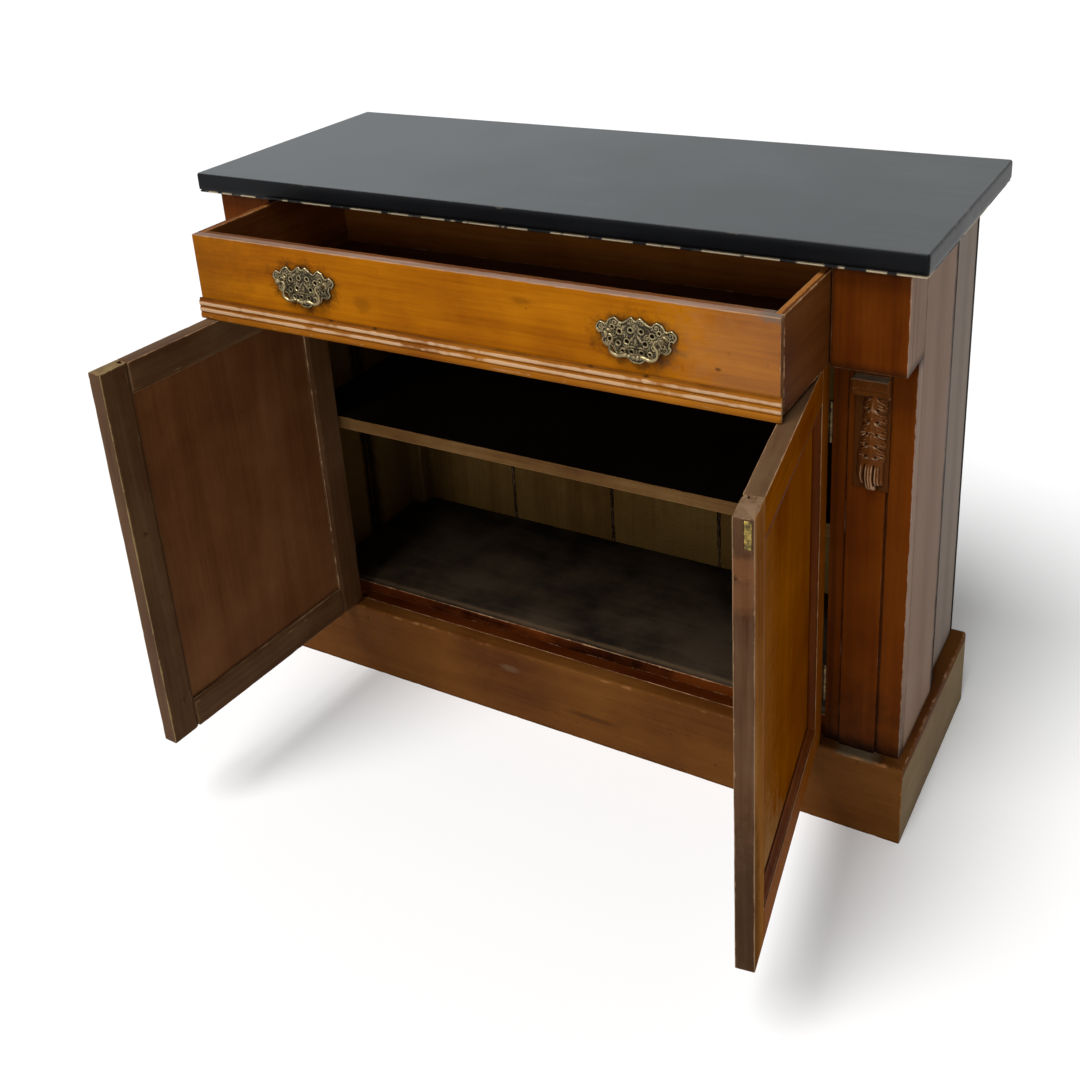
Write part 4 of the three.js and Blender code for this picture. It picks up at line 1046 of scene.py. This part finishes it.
def corbel(node):
    """The carved corbel as heights over its ground, on a grid whose middle columns follow the leaf's outline.

    Over the leaf stands a moulded cap, whose deepest band lies between a plain neck above and a curve
    below. Two rows of points lie close together at each of the cap's edges.
    """
    low, high = (np.array(corner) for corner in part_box(node))
    centre, width = (low[X] + high[X]) / 2, high[X] - low[X]
    back, deep, ground, cap_height = high[Y], high[Y] - low[Y], 3 * MM, 52 * MM
    rows, inner, outer = 330, 36, 5
    cap_shares, cap_depths = np.array(cap_rows[::-1]).T
    cap_edges = high[Z] - cap_height * (1 - cap_shares)
    even = np.linspace(high[Z], low[Z], rows + 1)
    level = np.concatenate([even, cap_edges - 0.05 * MM, cap_edges + 0.05 * MM])
    level = np.sort(level[(level <= high[Z]) & (level >= low[Z])])[::-1]
    leaf_top = high[Z] - 0.86 * cap_height
    drop = leaf_top - low[Z]
    t = np.clip((leaf_top - level) / drop, 0, 1)[:, None]
    middle = np.sin(np.linspace(-0.5, 0.5, 2 * inner + 1) * math.pi)
    s = np.concatenate([np.linspace(-2, -1, outer)[:-1], middle, np.linspace(1, 2, outer)[1:]])[None, :]

    half_width = 24 * MM
    scallop = 0.5 + 0.5 * np.cos(2 * math.pi * (t * drop - lobe_slant) / lobe_length)
    drawn_in = 0.1 * scallop * (t < tier_ends[2]) + 0.1 * rising(t, 0.66, 0.72) + 0.06 * rising(t, 0, 0.2)
    half = half_width * (1 - drawn_in) * between_rows(leaf_halves, t)
    lean = half_width * (1 - between_rows(leaf_halves, t)) - 0.3 * MM
    half = np.minimum(half, width / 2 - 0.2 * MM)
    on_leaf = np.clip(s, -1, 1)
    beside = np.clip(np.abs(s) - 1, 0, 1)
    x = lean + on_leaf * half
    x = centre + x + np.sign(s) * beside * (width / 2 - np.sign(s) * x)
    across, carving = carved_leaf(t, on_leaf, drop)
    foot = np.where(np.abs(on_leaf) < 0.34, 1.0, 0.95)
    closing = np.sqrt(np.clip(1 - (np.clip(t - (foot - 0.06), 0, None) / 0.06) ** 2, 0, 1))
    edge_lift = 5 * MM * np.clip(1 - np.abs(on_leaf) ** 6, 0, 1)
    rise = (deep - 6 * MM) * between_rows(leaf_rises, t)
    height = (edge_lift + rise * across + carving * np.clip(1 - np.abs(on_leaf) ** 10, 0, 1)) * closing
    height = np.where(np.abs(s) <= 1, np.maximum(height, ground), ground)
    height = np.where(level[:, None] > leaf_top, ground, height)

    share = 1 - (high[Z] - level) / cap_height
    cap = np.interp(share, cap_shares, cap_depths) * deep
    cap = np.where(share >= 0, cap, 0)[:, None]
    rows_of = np.repeat(level[:, None], s.shape[1], 1)
    place = np.stack([x + 0 * rows_of, 0 * rows_of, rows_of], -1)
    chips = 0.6 * MM * knots(place, 7 * MM, 12) + 0.3 * MM * knots(place, 2.5 * MM, 13)
    height = np.minimum(np.maximum(height, cap * (1 - 0.03 * knots(place, 12 * MM, 14))), deep - 0.1 * MM)
    height = height - chips * np.clip((height - ground) / ground, 0, 1)
    front = np.stack([place[..., 0], back - height, rows_of], -1)
    flat = np.stack([place[..., 0], np.full_like(height, back), rows_of], -1)
    # Hollows of the carving are darkened, dirt with painted shade; the flat ground round the leaf is darkened
    # more, as painted shade; crests are made pale
    full_darkening = 0.8 * MM
    hollow = (softened(height, 10) - height) / full_darkening
    hollow = np.where(hollow < 0, hollow * 0.9, hollow * 1.2 + 0.1)
    hollow = hollow + np.where(height <= 1.4 * ground, 0.35, 0)
    kept = np.ones((len(level) - 1, s.shape[1] - 1), bool)
    return plate_skin(front, flat, kept, np.clip(hollow, -1, 1))


for hand in hands:
    node = "corbel_" + hand
    new_piece("carved_" + node, corbel(node), [node], finish_of[node])


# Drawer


def drawer_front_ends(section):
    """The drawer front's ends: full width at the face, cut back behind for the sides that lap into it."""
    side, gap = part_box("drawer_side_right")[0], 0.3 * MM
    half = np.where(section[:, 0] > side[Y] - 0.2 * MM, side[X] - gap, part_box("drawer_front")[1][X])
    return -half, half


plain_run("drawer_front", X, 5 * MM, 1.6 * MM, 90, drawer_front_ends)
plain_run("drawer_side_right", Y, 5 * MM, 1.5 * MM, 91)
plain_run("drawer_side_left", Y, 5 * MM, 1.5 * MM, 92)


def reed_outline():
    """The moulding's section: three half rounds under a flat fillet."""
    low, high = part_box("drawer_reeded_moulding")
    out, reeds, fillet = high[Y] - low[Y], 3, 3 * MM
    rise = (high[Z] - low[Z] - fillet) / reeds
    angle = np.linspace(0, math.pi, 13)
    rounds = [(high[Y] - out * (1 + math.sin(a)) / 2, low[Z] + rise * (k + (1 - math.cos(a)) / 2))
              for k in range(reeds) for a in angle]
    return [(high[Y], low[Z]), *rounds, (high[Y] - out / 2, high[Z]), (high[Y], high[Z])]


def reed_wear(section):
    """The reeds' crests are made pale, rubbed bare and with a painted highlight, most on the upper ones; the
    two valleys and under the fillet are darkened with dirt and painted shade.
    """
    low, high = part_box("drawer_reeded_moulding")
    out = (high[Y] - section[:, 0]) / (high[Y] - low[Y])
    up = (section[:, 1] - low[Z]) / (high[Z] - low[Z])
    crest = np.clip((out - 0.86) / 0.14, 0, 1) * np.where(up > 0.3, 2.2, 0.6)
    return np.clip((0.72 - out) / 0.2, 0, 1) * (out > 0.1) - crest


low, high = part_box("drawer_reeded_moulding")
reeds = worn_run(reed_outline(), X, (low[X], high[X]), 3 * MM, 1.1 * MM, 93, worn_at=reed_wear)
moulding = "drawer_reeded_moulding"
new_piece("worn_" + moulding, reeds, [moulding], finish_of[moulding])


# Handles

# The right half of a plate's outline, and its openings and scrolls with their radii: shares of its half sizes
plate_outline = [
    (0, 0.86), (0.1, 1), (0.24, 0.84), (0.36, 0.72), (0.5, 0.92), (0.66, 0.8), (0.74, 0.6), (0.88, 0.66),
    (1, 0.4), (0.93, 0.14), (0.82, 0.02), (0.86, -0.2), (0.74, -0.42), (0.6, -0.4), (0.52, -0.62),
    (0.38, -0.76), (0.26, -0.7), (0.16, -0.92), (0, -1),
]
plate_holes = [
    (0.13, 0.42, 0.036), (0.4, 0.3, 0.04), (0.75, 0.3, 0.03), (0.22, -0.08, 0.04), (0.44, -0.2, 0.032),
    (0.64, -0.06, 0.026), (0.12, -0.5, 0.034), (0.33, -0.5, 0.024), (0.57, 0.46, 0.026), (0.86, 0.12, 0.022),
]
plate_scrolls = [
    (0.5, 0.66, 0.12), (0.84, 0.44, 0.11), (0.7, -0.2, 0.1), (0.36, -0.62, 0.09), (0.1, 0.8, 0.09),
    (0.28, 0.16, 0.1), (0.56, 0.2, 0.1), (0.24, -0.32, 0.08), (0.52, -0.44, 0.08), (0.7, 0.5, 0.08),
    (0.9, 0.2, 0.07),
]


def outline_distance(places, outline):
    """How far places lie from a closed outline, below 0 inside it.

    It is the least distance to the outline's legs, with the sign from how many legs a level line from the
    place crosses.
    """
    start, end = outline, np.roll(outline, -1, 0)
    leg = end - start
    away = places[:, None, :] - start[None]
    share = np.clip((away * leg).sum(-1) / (leg**2).sum(-1), 0, 1)
    nearest = np.linalg.norm(away - share[..., None] * leg, axis=-1).min(1)
    above = (start[:, 1] > places[:, 1:2]) != (end[:, 1] > places[:, 1:2])
    slope = np.where(np.abs(leg[:, 1]) < 1e-12, 1e-12, leg[:, 1])
    crossing = start[:, 0] + (places[:, 1:2] - start[:, 1]) * leg[:, 0] / slope
    inside = (above & (places[:, 0:1] < crossing)).sum(1) % 2 == 1
    return np.where(inside, -nearest, nearest)


def pierced_plate(centre, seat):
    """The handle's plate on a fine grid.

    The cells inside its outline and outside its openings are kept, and the points near a border are moved
    onto it. Its face has a rolled rim, raised scrolls and a shell in the middle.
    """
    half_width, half_height, cell = 56 * MM, 31 * MM, 0.8 * MM
    u = np.arange(-half_width - 2 * cell, half_width + 2.1 * cell, cell)
    v = np.arange(-half_height - 2 * cell, half_height + 2.1 * cell, cell)
    grid = np.stack(np.meshgrid(u, v, indexing="ij"), -1)
    right = np.array(plate_outline)
    left = right[-2:0:-1] * (-1, 1)
    outline = curve_through(np.vstack([right, left]) * (half_width, half_height), 4, closed=True)
    distance = outline_distance(grid.reshape(-1, 2), outline).reshape(grid.shape[:2])
    mirrored = np.abs(grid[..., 0])
    for x, z, radius in plate_holes:
        gap = np.hypot(mirrored - x * half_width, grid[..., 1] - z * half_height)
        distance = np.maximum(distance, radius * half_width - gap)
    slope = np.stack(np.gradient(distance, cell), -1)
    slope /= np.maximum(np.linalg.norm(slope, axis=-1, keepdims=True), 1e-9)
    reach = 0.55 * cell
    grid = np.where((np.abs(distance) < reach)[..., None], grid - slope * distance[..., None], grid)
    inner = distance < reach
    kept = inner[:-1, :-1] & inner[1:, :-1] & inner[1:, 1:] & inner[:-1, 1:]

    depth = np.maximum(-distance, 0)
    rim_rise, rim_place, rim_reach, scroll_rise, shell = 1.0 * MM, 1.6 * MM, 0.9 * MM, 0.9 * MM, 9 * MM
    relief = rim_rise * bump_at(depth, rim_place, rim_reach)
    for x, z, radius in plate_scrolls:
        gap = np.hypot(mirrored - x * half_width, grid[..., 1] - z * half_height) / (radius * half_width)
        turn = np.arctan2(grid[..., 1] - z * half_height, mirrored - x * half_width)
        relief = relief + scroll_rise * np.exp(-(gap**2)) * (1 + 0.5 * np.cos(4 * gap * math.pi + turn))
    boss = np.hypot(grid[..., 0], grid[..., 1] * 1.3) / shell
    fan = np.cos(9 * np.arctan2(grid[..., 0], -grid[..., 1] + shell))
    relief = relief + np.exp(-(boss**4)) * (1.0 + 0.35 * fan) * MM
    places = np.stack([mirrored, grid[..., 1], 0 * mirrored], -1)
    relief = relief + 0.75 * MM * knots(places, 4.5 * MM, 31) + 0.5 * MM * knots(places, 2.2 * MM, 32)
    slope_width, lowest, highest, sheet = 0.8 * MM, -0.6 * MM, 2.2 * MM, 1.2 * MM
    relief = np.clip(relief * np.clip(depth / slope_width, 0, 1), lowest, highest)
    x, y, z = centre[0] + grid[..., 0], np.full_like(relief, seat), centre[1] + grid[..., 1]
    over, under = np.stack([x, y - (sheet + relief), z], -1), np.stack([x, y, z], -1)
    full_darkening = 0.3 * MM
    hollow = (softened(relief, 5) - relief) / full_darkening + 0.15
    return plate_skin(over, under, kept, np.clip(hollow, -1, 1))


def turned_skin(centre, axis, places, radii, around=24):
    """A turned form along an axis: a radius at each place."""
    angle = np.linspace(0, 2 * math.pi, around, endpoint=False)
    rings = np.empty((len(places), around, 3))
    b, c = (axis + 1) % 3, (axis + 2) % 3
    rings[..., axis] = np.array(places)[:, None]
    rings[..., b] = centre[b] + np.array(radii)[:, None] * np.cos(angle)
    rings[..., c] = centre[c] + np.array(radii)[:, None] * np.sin(angle)
    return ring_skin(rings)


# A post along its length, and half a bail from its end to its middle: places and thickness, as shares
post_places = [0, 0.1, 0.3, 0.45, 0.6, 0.8, 0.95, 1.05, 1.12]
post_radii = [1.5, 1.3, 0.8, 0.72, 1, 1.2, 1.1, 0.75, 0.2]
bail_path = [
    (1, 0), (0.93, 0), (0.85, 0), (0.78, -0.05), (0.75, -0.24), (0.86, -0.5), (0.84, -0.82), (0.6, -0.99),
    (0.3, -0.9), (0, -0.98),
]
bail_radii = [1, 1, 1, 1.05, 1.2, 1.3, 1.35, 1.5, 1.75, 1.9]
# Where the posts stand, from the middle of their plate, and their sizes, then the bail's
post_half, post_up, post_radius, post_length = 38 * MM, 7 * MM, 4.2 * MM, 12 * MM
bail_drop, bail_out, bail_radius, thickest_bail = 27 * MM, 9.5 * MM, 1.6 * MM, 3 * MM


def handle_posts(centre, seat):
    """Two turned posts that carry the bail's ends."""
    share = np.linspace(0, post_places[-1], 29)
    radii = np.interp(share, post_places, post_radii) * post_radius
    places = seat - 1 * MM - share * post_length
    middles = [(centre[0] + side * post_half, 0, centre[1] + post_up) for side in (1, -1)]
    return [turned_skin(middle, Y, places, radii) for middle in middles]


def bail(centre, seat):
    """The hanging bail: a round bar carried along its path, with three small beads in its thick middle."""
    half = np.array(bail_path) * (post_half - 0.6 * MM, bail_drop)
    path = curve_through(np.vstack([half, half[-2::-1] * (-1, 1)]), 9)
    table = bail_radii + bail_radii[-2::-1]
    share = np.linspace(0, 1, len(path))
    radius = np.minimum(bail_radius * between_rows(table, share), thickest_bail)
    x = path[:, 0]
    grooves = sum(bump_at(np.abs(x), place, 0.7 * MM) for place in (3.4 * MM, 8.6 * MM))
    radius = radius * (1 - 0.3 * grooves)
    tangent = np.gradient(path, axis=0)
    tangent /= np.linalg.norm(tangent, axis=1, keepdims=True)
    side = np.stack([tangent[:, 1], -tangent[:, 0]], -1)
    angle = np.linspace(0, 2 * math.pi, 18, endpoint=False)
    rings = np.empty((len(path), len(angle), 3))
    swing = radius[:, None] * np.cos(angle)
    rings[..., X] = centre[0] + path[:, 0:1] + side[:, 0:1] * swing
    rings[..., Z] = centre[1] + post_up + path[:, 1:2] + side[:, 1:2] * swing
    rings[..., Y] = seat - bail_out + radius[:, None] * np.sin(angle)
    wear = np.clip(0.9 * grooves[:, None] - 0.5 + 0 * swing, -1, 1)
    return ring_skin(rings, wear)


for hand in ("left", "right"):
    plate, loop = "handle_plate_" + hand, "handle_bail_" + hand
    centre, seat = middle_of(plate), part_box(plate)[1][Y]
    surface = together(pierced_plate(centre, seat), *handle_posts(centre, seat))
    new_piece("pierced_" + plate, surface, [plate], handle_brass)
    new_piece("beaded_" + loop, bail(centre, seat), [loop], handle_brass)


# Doors

# A shut right-hand door from its hinge axis: its two edges and faces, and its frame's groove and inner slope
door_edge, door_free, door_outer, door_inner = -1.2 * MM, -446 * MM, 3 * MM, 28 * MM
door_foot, door_head = 138 * MM, 766.2 * MM
stile_width, groove, groove_front, groove_back, slope = 50 * MM, 8 * MM, 12 * MM, 20.6 * MM, 7 * MM


def on_door(door, points):
    """Points of a shut right-hand door, from its hinge axis, carried to where this door stands open."""
    side = 1 if door == "door_right" else -1
    turn = door_turn[door]
    x, y = points[:, 0] * side, points[:, 1]
    axis_x, axis_y = hinge_axis[door]
    cos, sin = math.cos(turn), math.sin(turn)
    return np.stack([axis_x + x * cos - y * sin, axis_y + x * sin + y * cos, points[:, 2]], -1)


def frame_outline(outer, inner):
    """The section of a stile or rail, from its outer edge to its grooved inner edge.

    Each point tells how far it lies across the door, and through it.
    """
    side = np.sign(outer - inner)
    in_groove, at_slope = inner + groove * side, inner + slope * side
    return [
        (outer, door_inner), (outer, door_outer), (inner, door_outer),
        (inner, groove_front), (in_groove, groove_front), (in_groove, groove_back), (inner, groove_back),
        (inner, door_inner - slope / 2), (at_slope, door_inner),
    ]


# The recess in the right door's free edge that takes the bolt's brass plate: its ends, its sides, its depth,
# and how far the points beside its edges lie from them
bolt_low, bolt_high = 729 * MM, 763.4 * MM
bolt_front, bolt_back, bolt_deep = 6.5 * MM, 15.5 * MM, 1.9 * MM
beside = 0.1 * MM


def bolt_recess(points):
    """Sinks the free edge of the stile where the brass plate of the bolt lies."""
    x, y, z = points.T
    on_edge = (y > bolt_front + beside) & (y < bolt_back - beside) & (x < door_free + 3 * MM)
    seated = on_edge & (z > bolt_low) & (z < bolt_high)
    points = points.copy()
    points[:, 0] = np.where(seated, np.maximum(x, door_free + bolt_deep), x)
    return points


def door_frame(door, seed):
    """The four framing boards of a door, their outer arrises worn, the free edge most of all."""
    inner_hinge, inner_free = door_edge - stile_width, door_free + stile_width
    low_open, high_open = door_foot + stile_width, door_head - stile_width
    tall = (door_foot, door_head)
    wide = (inner_free + 0.3 * MM, inner_hinge - 0.3 * MM)
    boards = {
        "hinge_stile": (frame_outline(door_edge, inner_hinge), Z, tall, 1.6 * MM),
        "lock_stile": (frame_outline(door_free, inner_free), Z, tall, 2.4 * MM),
        "top_rail": ([(y, x) for x, y in frame_outline(door_head, high_open)], X, wide, 1.8 * MM),
        "bottom_rail": ([(y, x) for x, y in frame_outline(door_foot, low_open)], X, wide, 1.8 * MM),
    }
    for count, (board, (outline, axis, ends, wear)) in enumerate(boards.items()):
        node = f"{door}_{board}"
        bolt = door == "door_right" and board == "lock_stile"
        extra = ()
        if bolt:
            extra = [end + side * beside for end in (bolt_low, bolt_high) for side in (-1, 1)]
            recess_edges = [(door_free, bolt_back + beside), (door_free, bolt_front - beside)]
            outline = [outline[0], *recess_edges, *outline[1:]]
        surface = worn_run(outline, axis, ends, 5 * MM, wear, seed + count, extra)
        points = bolt_recess(surface["points"]) if bolt else surface["points"]
        placed = skin(on_door(door, points), surface["faces"], surface["caps"], surface["wear"])
        new_piece("worn_" + node, placed, [node], finish_of[node])


door_frame("door_left", 110)
door_frame("door_right", 120)


# Floor, lamps and camera


def white_floor():
    """A wide pale floor that keeps the shadow, and shows white where nothing shades it."""
    mesh = bpy.data.meshes.new("studio_floor")
    reach = 40.0
    corners = [(x * reach, y * reach, 0) for x, y in ((-1, -1), (1, -1), (1, 1), (-1, 1))]
    mesh.from_pydata(corners, [], [(0, 1, 2, 3)])
    floor = bpy.data.objects.new("studio_floor", mesh)
    bpy.context.scene.collection.objects.link(floor)
    make = new_finish("studio_floor")
    plain = make.put("ShaderNodeBsdfDiffuse", {"Color": rgb(245, 245, 245)})
    glow = make.put("ShaderNodeEmission", {"Strength": make.sum("MULTIPLY", make.seen(), 0.08)})
    both = make.put("ShaderNodeAddShader", {0: plain.outputs[0], 1: glow.outputs[0]})
    mesh.materials.append(make.finished_with(both))


def surroundings():
    """An even pale room: plain light on the object, and white where the camera looks past it."""
    world = bpy.data.worlds.new("studio")
    bpy.context.scene.world = world
    make = Finish(world, "ShaderNodeOutputWorld")
    on_object, in_view = 0.24, 1.0
    level = make.mixed((in_view - on_object, make.seen()), start=on_object)
    make.finished_with(make.put("ShaderNodeBackground", {"Color": rgb(255, 255, 255), "Strength": level}))


def sun(name, towards, strength, spread):
    """A wide soft sun that shines along a direction, as wide in the sky as its spread in degrees."""
    data = bpy.data.lights.new(name, "SUN")
    data.energy = strength
    data.angle = math.radians(spread)
    shown = bpy.data.objects.new(name, data)
    bpy.context.scene.collection.objects.link(shown)
    shown.rotation_euler = Vector(towards).to_track_quat("-Z", "Y").to_euler()


# The camera, solved from the cabinet's straight edges: its place, and its turn in degrees
camera_place = (0.9432, -1.5203, 1.4549)
camera_turn = {"yaw": 31.283, "pitch": 22.25, "roll": -3.636}
# In the photograph's pixels: its size, the focal length, and the place that the camera points straight at
photo_width, photo_height, focal_pixels = 1080, 1086, 1296.6
ahead_across, ahead_down = 551.5, 335
sensor = 36.0


def photographer():
    """The camera at the photograph's place, with its lens shifted as the photograph's framing needs."""
    yaw, pitch, roll = (math.radians(angle) for angle in camera_turn.values())
    ahead = Vector((-math.sin(yaw) * math.cos(pitch), math.cos(yaw) * math.cos(pitch), -math.sin(pitch)))
    right = Vector((math.cos(yaw), math.sin(yaw), 0))
    up = right.cross(ahead)
    side = right * math.cos(roll) + up * math.sin(roll)
    top = up * math.cos(roll) - right * math.sin(roll)
    data = bpy.data.cameras.new("camera")
    camera = bpy.data.objects.new("camera", data)
    bpy.context.scene.collection.objects.link(camera)
    turn = Matrix((side, top, -ahead)).transposed().to_4x4()
    camera.matrix_world = Matrix.Translation(camera_place) @ turn
    data.sensor_width = sensor
    data.lens = focal_pixels / photo_height * sensor
    data.shift_x = (photo_width / 2 - ahead_across) / photo_height
    data.shift_y = (ahead_down - photo_height / 2) / photo_height
    data.clip_start, data.clip_end = 0.05, 200
    bpy.context.scene.camera = camera


white_floor()
surroundings()
sun("window", towards=(0.16, 0.56, -1.0), strength=2.9, spread=30)
sun("low_light", towards=(-0.1, 1.0, -0.3), strength=0.45, spread=14)
photographer()
bpy.context.scene.view_settings.view_transform = "Standard"
